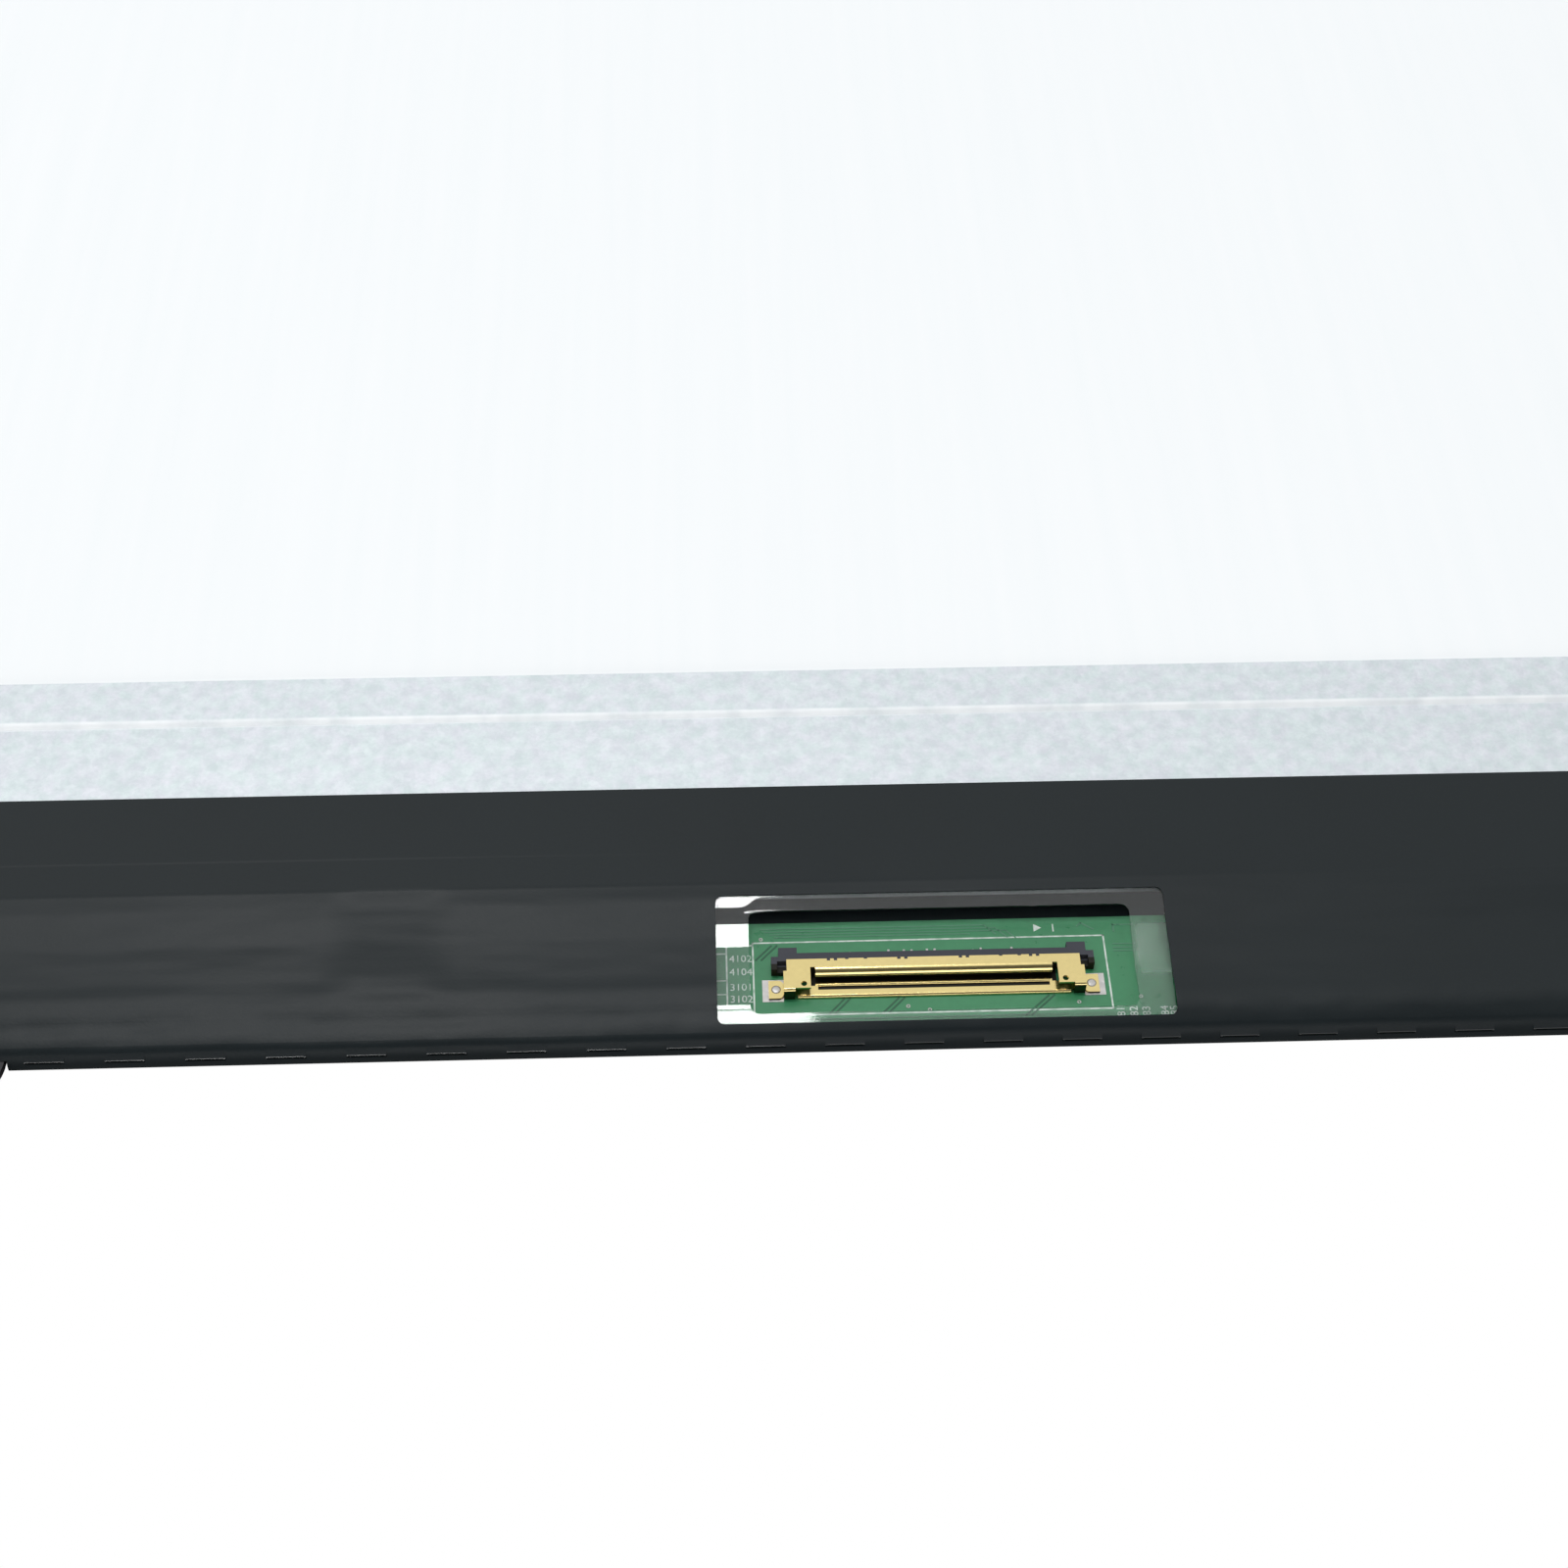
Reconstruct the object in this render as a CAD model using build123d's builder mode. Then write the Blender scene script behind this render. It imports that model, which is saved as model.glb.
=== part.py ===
from build123d import *
import math
import os

# Slim laptop screen panel, lying on its screen face: X along the long side, Y up the picture,
# Z from the front polariser at 0 to the back. The circuit board hangs below the frame, towards -Y.
# The origin is at the middle of the outline, on the screen face. All sizes are in millimetres.

os.makedirs("parts", exist_ok=True)

# Picture area and liquid crystal cell
ACTIVE_WIDTH = 344.23
ACTIVE_HEIGHT = 193.54
CELL_SIDE = 4.2  # glass past the picture at each side
CELL_END = 3.0  # glass past the picture at top and bottom
LEDGE = 2.6  # array glass past the filter glass, where the driver films are bonded
GLASS = 0.4
FRONT_POLARISER = 0.2
FRONT_POLARISER_LAP = 1.8  # past the picture
REAR_POLARISER = 0.15
REAR_POLARISER_LAP = 1.2
CELL_CORNER = 0.4

# Tape ring between the cell and the frame
RIM_TAPE = 0.15
RIM_TAPE_SETBACK = 0.3  # from the edge of the glass
RIM_TAPE_CLEARANCE = 0.3  # to the rear polariser

# Moulded frame
CELL_CLEARANCE = 0.3
FRAME_SIDE_WALL = 2.635  # outside the cell pocket
FRAME_TOP_WALL = 1.3
FRAME_PAST_LEDGE = 0.84
FRAME_FRONT = 0.15  # front of the frame behind the face of the polariser
FRAME_CORNER = 0.8
SHELF = 0.3
LUG_LENGTH = 6.0
LUG_HEIGHT = 0.9
LUG_OUT = 0.4
LUGS_A_SIDE = 3
LUG_CLEARANCE = 0.2

# Backlight sheets and light guide
DIFFUSER = 0.12
PRISM = 0.14
FILM_LAP = 2.2  # sheets and light guide past the picture
FILM_CLEARANCE = 0.2
FILM_TABS = 3
FILM_TAB_WIDTH = 8.0
FILM_TAB_OUT = 0.9
GUIDE = 0.65
GUIDE_ENTRY = 3.0  # light guide below the picture, up to the lamps
ADHESIVE = 0.05
ADHESIVE_WIDTH = 1.8
ADHESIVE_SETBACK = 0.25
REFLECTOR = 0.22
REFLECTOR_LAP = 2.4  # over the rim of the frame
REFLECTOR_TUCK = 0.35  # from the joggle of the steel band

# Light bar
LED_COUNT = 42
LED_WIDTH = 3.8
LED_DEPTH = 1.0
LED_HEIGHT = 0.55
LED_GAP = 0.1  # lamp to light guide
LED_LENS_MARGIN = 0.12
LED_LENS_DEPTH = 0.08
STRIP = 0.12
STRIP_WIDTH = 2.2
STRIP_CLEARANCE = 0.15
STRIP_END = 4.0  # past the last lamp

# Galvanised steel band over the light bar
STEEL = 0.3
BAND_DEPTH = 18.2
BAND_JOGGLE = 14.3  # from the outer face of the flange to the joggle
JOGGLE_RUN = 0.35
BAND_FLANGE = 1.6
BAND_BEND = 0.25
FLANGE_CLEARANCE = 0.12
BAND_END_GAP = 0.6  # from the sides of the frame

# Circuit board
BOARD_END_GAP = 1.35  # board to the ears
BOARD_WIDTH = 9.1
BOARD = 0.6
BOARD_GAP = 1.85  # board to steel flange
BOARD_EDGE_GAP = 0.35  # board to the outer face of the tape
BOARD_CHAMFER = 1.0
BOARD_HOLE = 1.2
BOARD_HOLE_INSET = 3.0

# Driver films and their chips
DRIVER_FILM = 0.06
DRIVER_FILM_WIDTH = 32.0
DRIVER_FILM_TAPER = 2.5
DRIVER_COUNT = 4
BOND_ON_LEDGE = 1.8
BOND_ON_BOARD = 1.95
DRIVER_CHIP_LENGTH = 20.0
DRIVER_CHIP_WIDTH = 1.3
DRIVER_CHIP = 0.35

# Cable connector
CONNECTOR_AT = 57.0  # from the end of the board
CONNECTOR_SETBACK = 3.2  # lip to the lower edge of the board
CONTACTS = 30
CONTACT_PITCH = 0.5
CONTACT_WIDTH = 0.2
CONTACT = 0.1
CONTACT_LEVEL = 0.4  # underside of the contact blades above the board
CONTACT_TAIL = 0.35
CONTACT_CLEARANCE = 0.03
MOUTH_MARGIN = 0.67  # mouth past the outer contacts
SHELL = 0.15
SHELL_HEIGHT = 1.05
CHEEK = 1.73
CHEEK_WALL = 0.73  # front wall of a cheek, from its outer side
CHEEK_ROUND = 0.2
CHEEK_REAR = 0.23  # cheeks past the mouth
CHEEK_HOLE = 0.38
CHEEK_HOLE_AT = (0.44, 0.52)  # from the mouth, and behind the lip
LIP = 0.55
LIP_LIFT = 0.08
LIP_END = 0.82  # lip past the mouth at each end
LIP_ROUND = 0.19
LIP_SLOT = 0.3
LIP_BAR = 0.29
BAR_ROUND = 0.12
BAR_JOINT = 0.17
MOUTH_SETBACK = 1.28  # front of the top plate behind the lip
MOUTH_ROUND = 0.5
MOUTH_TURN = 72  # degrees
MOUTH_EDGE = 0.03  # straight end of the fold
MOUTH_RELIEF = 0.32  # cut beside the fold of the mouth at each end
TOP_STRIP = 1.1
SHELL_WAIST = 0.22  # rear strip narrower than the cheeks at each end
NOTCH_PAIRS_AT = (1.98, 6.5)  # from the middle, to both sides
NOTCH_SPREAD = 0.45
NOTCHES_AT = (4.35, 5.55)
NOTCH_WIDTH = 0.22
NOTCH_DEPTH = 0.15
TAB_OUT = 0.95
TAB_WIDTH = 1.35
TAB_ROUND = 0.33
TAB_SETBACK = 0.66  # middle of the tabs behind the lip
TAB_HOLE = 0.6
SOLDER = 0.03
SOLDER_OUT = 0.4
SOLDER_MARGIN = 0.15
HOUSING_HEIGHT = 0.75
HOUSING_FRONT = 1.9
HOUSING_REAR = 3.05  # rear face behind the lip
HOUSING_FIT = 0.03
HOUSING_FLOOR = 0.06
BLOCK_REAR = 3.48  # end blocks of the housing, behind the lip
BLOCK_FRONT = 2.45
BLOCK_OUT = 0.27  # past the shell
BLOCK_WIDTH = 1.2
LEG_REAR = 2.8
LEG_FRONT = 1.82
LEG_OUT = 0.75  # past the shell
LEG_WIDTH = 0.38
LEG_STEP = 0.35  # height between the legs and the shell
TONGUE = 0.15
TONGUE_FRONT = 1.42

# Parts on the board: places from its end, and up from its lower edge
TIMING_CHIP = (6.0, 5.0, 0.65)
TIMING_CHIP_AT = (22.5, 6.2)
POWER_CHIP = (5.0, 5.0, 0.6)
POWER_CHIP_AT = (98.0, 5.6)
MEMORY_CHIP = (3.0, 2.0, 0.55)
MEMORY_CHIP_AT = (33.5, 6.0)
CHIP_BEVEL = 0.08
INDUCTOR = 4.0
INDUCTOR_HEIGHT = 0.65
INDUCTOR_ROUND = 1.0
INDUCTOR_COUNT = 3
INDUCTOR_PITCH = 9.0
INDUCTOR_AT = (120.0, 5.9)
CAPACITOR = (1.6, 0.8, 0.5)
CAPACITOR_COUNT = 14
CAPACITOR_PITCH = 5.0
CAPACITOR_AT = (140.0, 2.9)
RESISTOR = (0.5, 1.0, 0.35)
RESISTOR_COUNT = 14
RESISTOR_PITCH = 5.0
RESISTOR_AT = (262.0, 5.2)
CHIP_CAP_BEVEL = 0.06

# Ribbon from the light bar to its socket on the board
TAIL_AT = 222.0  # from the end of the board
TAIL_WIDTH = 5.0
TAIL = 0.12
TAIL_CLEARANCE = 0.4
TAIL_BEND = 0.6
TAIL_PAST_FLANGE = 0.7
TAIL_LEVEL = 0.35  # above the board in the socket
TAIL_RUN = 1.6
SOCKET_LENGTH = 7.0
SOCKET_DEPTH = 3.2
SOCKET_HEIGHT = 0.7
SOCKET_REACH = 1.0  # ribbon inside the socket
SOCKET_SLOT = 0.05  # room round the ribbon

# Black cover tape and the clear film behind its window
TAPE = 0.08
TAPE_REACH = 8.1  # on the steel, from the flange
TAPE_SETBACK = 0.1  # crest of the tape from the outer face of the flange
TAPE_SIDE_GAP = 1.2
TAPE_FLAP_END = 4.0  # flap past the end of the board
TAPE_WRAP_END = 1.2  # wrapped edge past the end of the board
TAPE_FILTER_GAP = 0.36  # flap on the front to the filter glass
TAPE_FRONT_GAP = 0.02
TAPE_EAR_GAP = 0.03
TAPE_SHOULDER = (7.8, 1.1)  # from the folded edge, and above the board
TAPE_MIDDLE = (5.0, 0.85)
TAPE_BROW = (2.9, 0.8)
TAPE_FOLD = 0.29  # above the board
TAPE_FOLD_BEND = 1.05
TAPE_CREST_BEND = 0.8
TAPE_SLOPE_BEND = 5.0
TAPE_FRONT_BEND = 0.1
SLIT_PITCH = 5.0
SLIT = 2.5
SLIT_SHIFT = -1.4
SLIT_FROM = 38  # degrees round the fold where the tongues leave it
SLIT_TO = 67  # degrees round the fold where the sheet starts again
SLIT_TONGUE = 0.4
SLIT_ROOT = 0.08  # tongue joined to the sheet
WINDOW_WIDTH = 29.2
WINDOW_HEIGHT = 9.15
WINDOW_SHIFT = 0.7  # middle of the window from the middle of the connector
WINDOW_LOW = 1.45  # from the folded edge
WINDOW_CORNER = 0.5
FILM = 0.1
FILM_GAP = 0.012
FILM_MARGIN = 0.5  # film past the window
CUTOUT_WIDTH = 24.8
CUTOUT_HEIGHT = 7.3
CUTOUT_SHIFT = 0.6
CUTOUT_LOW = 2.2
CUTOUT_CORNER = 0.6

# Side brackets with mounting ears
BRACKET = 0.5
BRACKET_HEIGHT = 1.85
EAR_LEVEL = 0.75
EAR_WIDTH = 23.4
EAR_ABOVE = 4.5
EAR_BELOW = 3.0
EAR_CORNER = 3.4
EAR_GAP = 0.3
EAR_HOLE = 2.2
EAR_HOLE_INSET = 7.75
EAR_HOLE_UP = 2.2
EAR_HOLE_DOWN = 3.6
BRACKET_BEND = 0.3

# Tape over the top edge
EDGE_TAPE_REACH = 6.0
EDGE_TAPE_END = 9.0
EDGE_TAPE_LOW = 0.5

# Heights
z_filter = FRONT_POLARISER
z_array = z_filter + GLASS
z_cell_back = z_array + GLASS
z_shelf = z_cell_back + RIM_TAPE
z_sheets = z_shelf + SHELF
z_guide = z_sheets + 2 * DIFFUSER + 2 * PRISM
z_rim = z_guide + GUIDE
z_reflector = z_rim + ADHESIVE
z_reflector_back = z_reflector + REFLECTOR
z_band_back = z_rim + STEEL
z_board = z_array
z_board_back = z_board + BOARD
z_driver = z_array - DRIVER_FILM

# Widths
cell_half = ACTIVE_WIDTH / 2 + CELL_SIDE
pocket_half = cell_half + CELL_CLEARANCE
frame_half = pocket_half + FRAME_SIDE_WALL
panel_half = frame_half + BRACKET
sheet_half = ACTIVE_WIDTH / 2 + FILM_LAP
sheet_pocket_half = sheet_half + FILM_CLEARANCE

# Places up the picture, from the lower ears to the upper ears
board_bay = BOARD_EDGE_GAP + BOARD_WIDTH + BOARD_GAP
below_picture = EAR_BELOW + board_bay + STEEL + FLANGE_CLEARANCE + FRAME_PAST_LEDGE + LEDGE + CELL_END
above_picture = CELL_END + CELL_CLEARANCE + FRAME_TOP_WALL + EAR_ABOVE
y_top = (below_picture + ACTIVE_HEIGHT + above_picture) / 2
y_bottom = -y_top
y_active_low = y_bottom + below_picture
y_active_high = y_active_low + ACTIVE_HEIGHT
y_cell_high = y_active_high + CELL_END
y_filter_low = y_active_low - CELL_END
y_array_low = y_filter_low - LEDGE
y_frame_low = y_array_low - FRAME_PAST_LEDGE
y_frame_high = y_cell_high + CELL_CLEARANCE + FRAME_TOP_WALL
y_flange = y_frame_low - FLANGE_CLEARANCE - STEEL
y_fold = y_flange - board_bay
y_board_low = y_fold + BOARD_EDGE_GAP
y_board_high = y_board_low + BOARD_WIDTH
y_guide_low = y_active_low - GUIDE_ENTRY
y_sheet_high = y_active_high + FILM_LAP
y_strip_high = y_guide_low - LED_GAP
y_strip_low = y_strip_high - STRIP_WIDTH
y_joggle = y_flange + BAND_JOGGLE
y_lip = y_board_low + CONNECTOR_SETBACK
board_half = panel_half - EAR_WIDTH - BOARD_END_GAP
x_board = -board_half  # end of the board that the places of its parts are taken from
x_connector = x_board + CONNECTOR_AT
x_tail = x_board + TAIL_AT


def sheet(half_width, low, high, z, thickness, corner):
    """Flat sheet, centred on X, between two places up the picture."""
    with BuildPart() as piece:
        with BuildSketch(Plane.XY.offset(z)):
            with Locations((0, (low + high) / 2)):
                RectangleRounded(2 * half_width, high - low, corner)
        extrude(amount=thickness)
    return piece.part


def optical_film(z, thickness):
    """Backlight sheet with locating tabs along its upper edge."""
    with BuildPart() as piece:
        with BuildSketch(Plane.XY.offset(z)):
            with Locations((0, (y_guide_low + y_sheet_high) / 2)):
                Rectangle(2 * sheet_half, y_sheet_high - y_guide_low)
            with Locations((0, y_sheet_high)):
                with GridLocations(ACTIVE_WIDTH / FILM_TABS, 0, FILM_TABS, 1):
                    Rectangle(FILM_TAB_WIDTH, 2 * FILM_TAB_OUT)
        extrude(amount=thickness)
    return piece.part


def board_part(size, at, bevel, count=1, pitch=0):
    """Row of like block-shaped parts that stand on the board, with bevelled tops."""
    length, width, height = size
    with BuildPart() as piece:
        with BuildSketch(Plane.XY.offset(z_board_back)):
            with Locations((x_board + at[0], y_board_low + at[1])):
                with GridLocations(pitch, 0, count, 1):
                    Rectangle(length, width)
        extrude(amount=height)
        chamfer(piece.edges().group_by(Axis.Z)[-1], bevel)
    return piece.part


# Liquid crystal cell
with BuildPart() as front_polariser:
    add(sheet(
        ACTIVE_WIDTH / 2 + FRONT_POLARISER_LAP,
        y_active_low - FRONT_POLARISER_LAP,
        y_active_high + FRONT_POLARISER_LAP,
        0, FRONT_POLARISER, CELL_CORNER,
    ))
front_polariser.part.label = "front_polariser"
export_step(front_polariser.part, "parts/front_polariser.step")

with BuildPart() as colour_filter_glass:
    add(sheet(cell_half, y_filter_low, y_cell_high, z_filter, GLASS, CELL_CORNER))
colour_filter_glass.part.label = "colour_filter_glass"
export_step(colour_filter_glass.part, "parts/colour_filter_glass.step")

with BuildPart() as tft_array_glass:
    add(sheet(cell_half, y_array_low, y_cell_high, z_array, GLASS, CELL_CORNER))
tft_array_glass.part.label = "tft_array_glass"
export_step(tft_array_glass.part, "parts/tft_array_glass.step")

with BuildPart() as rear_polariser:
    add(sheet(
        ACTIVE_WIDTH / 2 + REAR_POLARISER_LAP,
        y_active_low - REAR_POLARISER_LAP,
        y_active_high + REAR_POLARISER_LAP,
        z_cell_back, REAR_POLARISER, CELL_CORNER,
    ))
rear_polariser.part.label = "rear_polariser"
export_step(rear_polariser.part, "parts/rear_polariser.step")

# Tape ring that holds the cell on the shelf of the frame
opening_lap = REAR_POLARISER_LAP + RIM_TAPE_CLEARANCE
opening_half = ACTIVE_WIDTH / 2 + opening_lap
y_opening_low = y_active_low - opening_lap
y_opening_high = y_active_high + opening_lap
with BuildPart() as rim_tape:
    add(sheet(
        cell_half - RIM_TAPE_SETBACK,
        y_array_low + RIM_TAPE_SETBACK,
        y_cell_high - RIM_TAPE_SETBACK,
        z_cell_back, RIM_TAPE, CELL_CORNER,
    ))
    add(
        sheet(opening_half, y_opening_low, y_opening_high, z_cell_back, RIM_TAPE, CELL_CORNER),
        mode=Mode.SUBTRACT,
    )
rim_tape.part.label = "rim_tape"
export_step(rim_tape.part, "parts/rim_tape.step")

# Moulded frame: front pocket for the cell, open at the ledge, a shelf, and a rear pocket for the sheets
y_pocket_low = y_strip_low - STRIP_CLEARANCE
y_pocket_high = y_sheet_high + FILM_CLEARANCE
with BuildPart() as mould_frame:
    add(sheet(frame_half, y_frame_low, y_frame_high, FRAME_FRONT, z_rim - FRAME_FRONT, FRAME_CORNER))
    with BuildSketch(Plane.XY.offset(FRAME_FRONT)):
        with Locations((0, (y_frame_low - CELL_CORNER + y_cell_high + CELL_CLEARANCE) / 2)):
            Rectangle(2 * pocket_half, y_cell_high + CELL_CLEARANCE - y_frame_low + CELL_CORNER)
    extrude(amount=z_shelf - FRAME_FRONT, mode=Mode.SUBTRACT)
    with BuildSketch(Plane.XY.offset(z_sheets)):
        with Locations((0, (y_pocket_low + y_pocket_high) / 2)):
            Rectangle(2 * sheet_pocket_half, y_pocket_high - y_pocket_low)
        with Locations((0, y_pocket_high)):
            with GridLocations(ACTIVE_WIDTH / FILM_TABS, 0, FILM_TABS, 1):
                Rectangle(FILM_TAB_WIDTH + 2 * FILM_CLEARANCE, 2 * FILM_TAB_OUT)
    extrude(amount=z_rim - z_sheets, mode=Mode.SUBTRACT)
    with BuildSketch(Plane.XY.offset(z_shelf)):
        with Locations((0, (y_opening_low + y_opening_high) / 2)):
            RectangleRounded(2 * opening_half, y_opening_high - y_opening_low, CELL_CORNER)
    extrude(amount=SHELF, mode=Mode.SUBTRACT)
    # Notch in the lower bar for the ribbon of the light bar
    with BuildSketch(Plane.XY.offset(z_rim - TAIL - TAIL_CLEARANCE)):
        with Locations((x_tail, y_frame_low)):
            Rectangle(TAIL_WIDTH + 2 * TAIL_CLEARANCE, 2 * (y_pocket_low - y_frame_low))
    extrude(amount=TAIL + TAIL_CLEARANCE, mode=Mode.SUBTRACT)
    # Lugs that the side brackets snap over
    with BuildSketch(Plane.XY.offset(EAR_LEVEL + (BRACKET_HEIGHT - LUG_HEIGHT) / 2)):
        with GridLocations(2 * frame_half, ACTIVE_HEIGHT / LUGS_A_SIDE, 2, LUGS_A_SIDE):
            Rectangle(2 * LUG_OUT, LUG_LENGTH)
    extrude(amount=LUG_HEIGHT)
mould_frame.part.label = "mould_frame"
export_step(mould_frame.part, "parts/mould_frame.step")

# Optical sheets, from the cell towards the light guide
z_upper_prism = z_sheets + DIFFUSER
z_lower_prism = z_upper_prism + PRISM
z_lower_diffuser = z_lower_prism + PRISM

with BuildPart() as upper_diffuser_film:
    add(optical_film(z_sheets, DIFFUSER))
upper_diffuser_film.part.label = "upper_diffuser_film"
export_step(upper_diffuser_film.part, "parts/upper_diffuser_film.step")

with BuildPart() as upper_prism_film:
    add(optical_film(z_upper_prism, PRISM))
upper_prism_film.part.label = "upper_prism_film"
export_step(upper_prism_film.part, "parts/upper_prism_film.step")

with BuildPart() as lower_prism_film:
    add(optical_film(z_lower_prism, PRISM))
lower_prism_film.part.label = "lower_prism_film"
export_step(lower_prism_film.part, "parts/lower_prism_film.step")

with BuildPart() as lower_diffuser_film:
    add(optical_film(z_lower_diffuser, DIFFUSER))
lower_diffuser_film.part.label = "lower_diffuser_film"
export_step(lower_diffuser_film.part, "parts/lower_diffuser_film.step")

with BuildPart() as light_guide_plate:
    add(sheet(sheet_half, y_guide_low, y_sheet_high, z_guide, GUIDE, CELL_CORNER))
light_guide_plate.part.label = "light_guide_plate"
export_step(light_guide_plate.part, "parts/light_guide_plate.step")

# Reflector on the rim of the frame, with its adhesive strips down both sides and along the top
reflector_half = sheet_pocket_half + REFLECTOR_LAP
y_reflector_low = y_joggle + JOGGLE_RUN + REFLECTOR_TUCK
y_reflector_high = y_pocket_high + FILM_TAB_OUT + ADHESIVE_SETBACK
adhesive_x = sheet_pocket_half + ADHESIVE_SETBACK + ADHESIVE_WIDTH / 2
with BuildPart() as reflector_adhesive:
    with BuildSketch(Plane.XY.offset(z_rim)):
        with Locations((0, (y_reflector_low + y_reflector_high) / 2)):
            with GridLocations(2 * adhesive_x, 0, 2, 1):
                Rectangle(ADHESIVE_WIDTH, y_reflector_high - y_reflector_low)
    extrude(amount=ADHESIVE)
reflector_adhesive.part.label = "reflector_adhesive"
export_step(reflector_adhesive.part, "parts/reflector_adhesive.step")

with BuildPart() as reflector_sheet:
    add(sheet(reflector_half, y_reflector_low, y_reflector_high, z_reflector, REFLECTOR, CELL_CORNER))
reflector_sheet.part.label = "reflector_sheet"
export_step(reflector_sheet.part, "parts/reflector_sheet.step")

# Light bar: strip under the steel band, with side-view lamps that face the edge of the light guide
led_pitch = ACTIVE_WIDTH / LED_COUNT
strip_half = (LED_COUNT - 1) * led_pitch / 2 + STRIP_END
with BuildPart() as led_strip_board:
    with BuildSketch(Plane.XY.offset(z_rim - STRIP)):
        with Locations((0, (y_strip_low + y_strip_high) / 2)):
            Rectangle(2 * strip_half, STRIP_WIDTH)
    extrude(amount=STRIP)
led_strip_board.part.label = "led_strip_board"
export_step(led_strip_board.part, "parts/led_strip_board.step")

with BuildPart() as leds:
    with BuildSketch(Plane.XY.offset(z_rim - STRIP - LED_HEIGHT)):
        with Locations((0, y_strip_high - LED_DEPTH / 2)):
            with GridLocations(led_pitch, 0, LED_COUNT, 1):
                Rectangle(LED_WIDTH, LED_DEPTH)
    extrude(amount=LED_HEIGHT)
    with BuildSketch(Plane.XZ.offset(-y_strip_high)):
        with Locations((0, z_rim - STRIP - LED_HEIGHT / 2)):
            with GridLocations(led_pitch, 0, LED_COUNT, 1):
                Rectangle(LED_WIDTH - 2 * LED_LENS_MARGIN, LED_HEIGHT - 2 * LED_LENS_MARGIN)
    extrude(amount=LED_LENS_DEPTH, mode=Mode.SUBTRACT)
leds.part.label = "leds"
export_step(leds.part, "parts/leds.step")

# Steel band: flange down the frame, flat over the light bar, joggle up onto the reflector
band_half = frame_half - BAND_END_GAP
z_band = z_rim + STEEL / 2
with BuildPart() as light_bar_cover:
    with BuildSketch(Plane.YZ):
        with BuildLine() as band_line:
            FilletPolyline(
                (y_flange + STEEL / 2, z_band_back - BAND_FLANGE),
                (y_flange + STEEL / 2, z_band),
                (y_joggle, z_band),
                (y_joggle + JOGGLE_RUN, z_reflector_back + STEEL / 2),
                (y_flange + BAND_DEPTH, z_reflector_back + STEEL / 2),
                radius=BAND_BEND,
            )
        trace(line_width=STEEL)
    extrude(amount=band_half, both=True)
    with BuildSketch(Plane.XY):
        with Locations((x_tail, y_flange)):
            Rectangle(TAIL_WIDTH + 2 * TAIL_CLEARANCE, 2 * (STEEL + FLANGE_CLEARANCE))
    extrude(amount=z_rim, mode=Mode.SUBTRACT)
light_bar_cover.part.label = "light_bar_cover"
export_step(light_bar_cover.part, "parts/light_bar_cover.step")

# Driver films bonded to the front of the ledge and of the board, with their chips between the two
y_driver_low = y_board_high - BOND_ON_BOARD
y_driver_high = y_array_low + BOND_ON_LEDGE
with BuildPart() as source_driver_films:
    with BuildSketch(Plane.XY.offset(z_driver)):
        with Locations((0, (y_driver_low + y_driver_high) / 2)):
            with GridLocations(ACTIVE_WIDTH / DRIVER_COUNT, 0, DRIVER_COUNT, 1):
                Trapezoid(
                    DRIVER_FILM_WIDTH, y_driver_high - y_driver_low,
                    90 + math.degrees(math.atan(DRIVER_FILM_TAPER / (y_driver_high - y_driver_low))),
                )
    extrude(amount=DRIVER_FILM)
source_driver_films.part.label = "source_driver_films"
export_step(source_driver_films.part, "parts/source_driver_films.step")

with BuildPart() as driver_chips:
    with BuildSketch(Plane.XY.offset(z_array)):
        with Locations((0, (y_board_high + y_array_low) / 2)):
            with GridLocations(ACTIVE_WIDTH / DRIVER_COUNT, 0, DRIVER_COUNT, 1):
                Rectangle(DRIVER_CHIP_LENGTH, DRIVER_CHIP_WIDTH)
    extrude(amount=DRIVER_CHIP)
driver_chips.part.label = "driver_chips"
export_step(driver_chips.part, "parts/driver_chips.step")

# Circuit board
with BuildPart() as control_board:
    with BuildSketch(Plane.XY.offset(z_board)) as board_outline:
        with Locations((0, (y_board_low + y_board_high) / 2)):
            Rectangle(2 * board_half, BOARD_WIDTH)
        chamfer(board_outline.vertices(), BOARD_CHAMFER)
        with Locations((0, (y_board_low + y_board_high) / 2)):
            with GridLocations(2 * (board_half - BOARD_HOLE_INSET), 0, 2, 1):
                Circle(BOARD_HOLE / 2, mode=Mode.SUBTRACT)
    extrude(amount=BOARD)
control_board.part.label = "control_board"
export_step(control_board.part, "parts/control_board.step")


def in_pairs(length, width, at, y, mode=Mode.ADD):
    """Like rectangles to both sides of the middle of the connector."""
    with Locations((x_connector, y)):
        with GridLocations(2 * at, 0, 2, 1):
            Rectangle(length, width, mode=mode)


def folded_strip(points, bend, middle, length):
    """Strip of the shell along a line with a round fold; the bend is that of its outer face."""
    with BuildPart() as strip:
        with BuildSketch(Plane.YZ.offset(middle)):
            with BuildLine():
                FilletPolyline(*points, radius=bend - SHELL / 2)
            trace(line_width=SHELL)
        extrude(amount=length / 2, both=True)
    return strip.part


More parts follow.
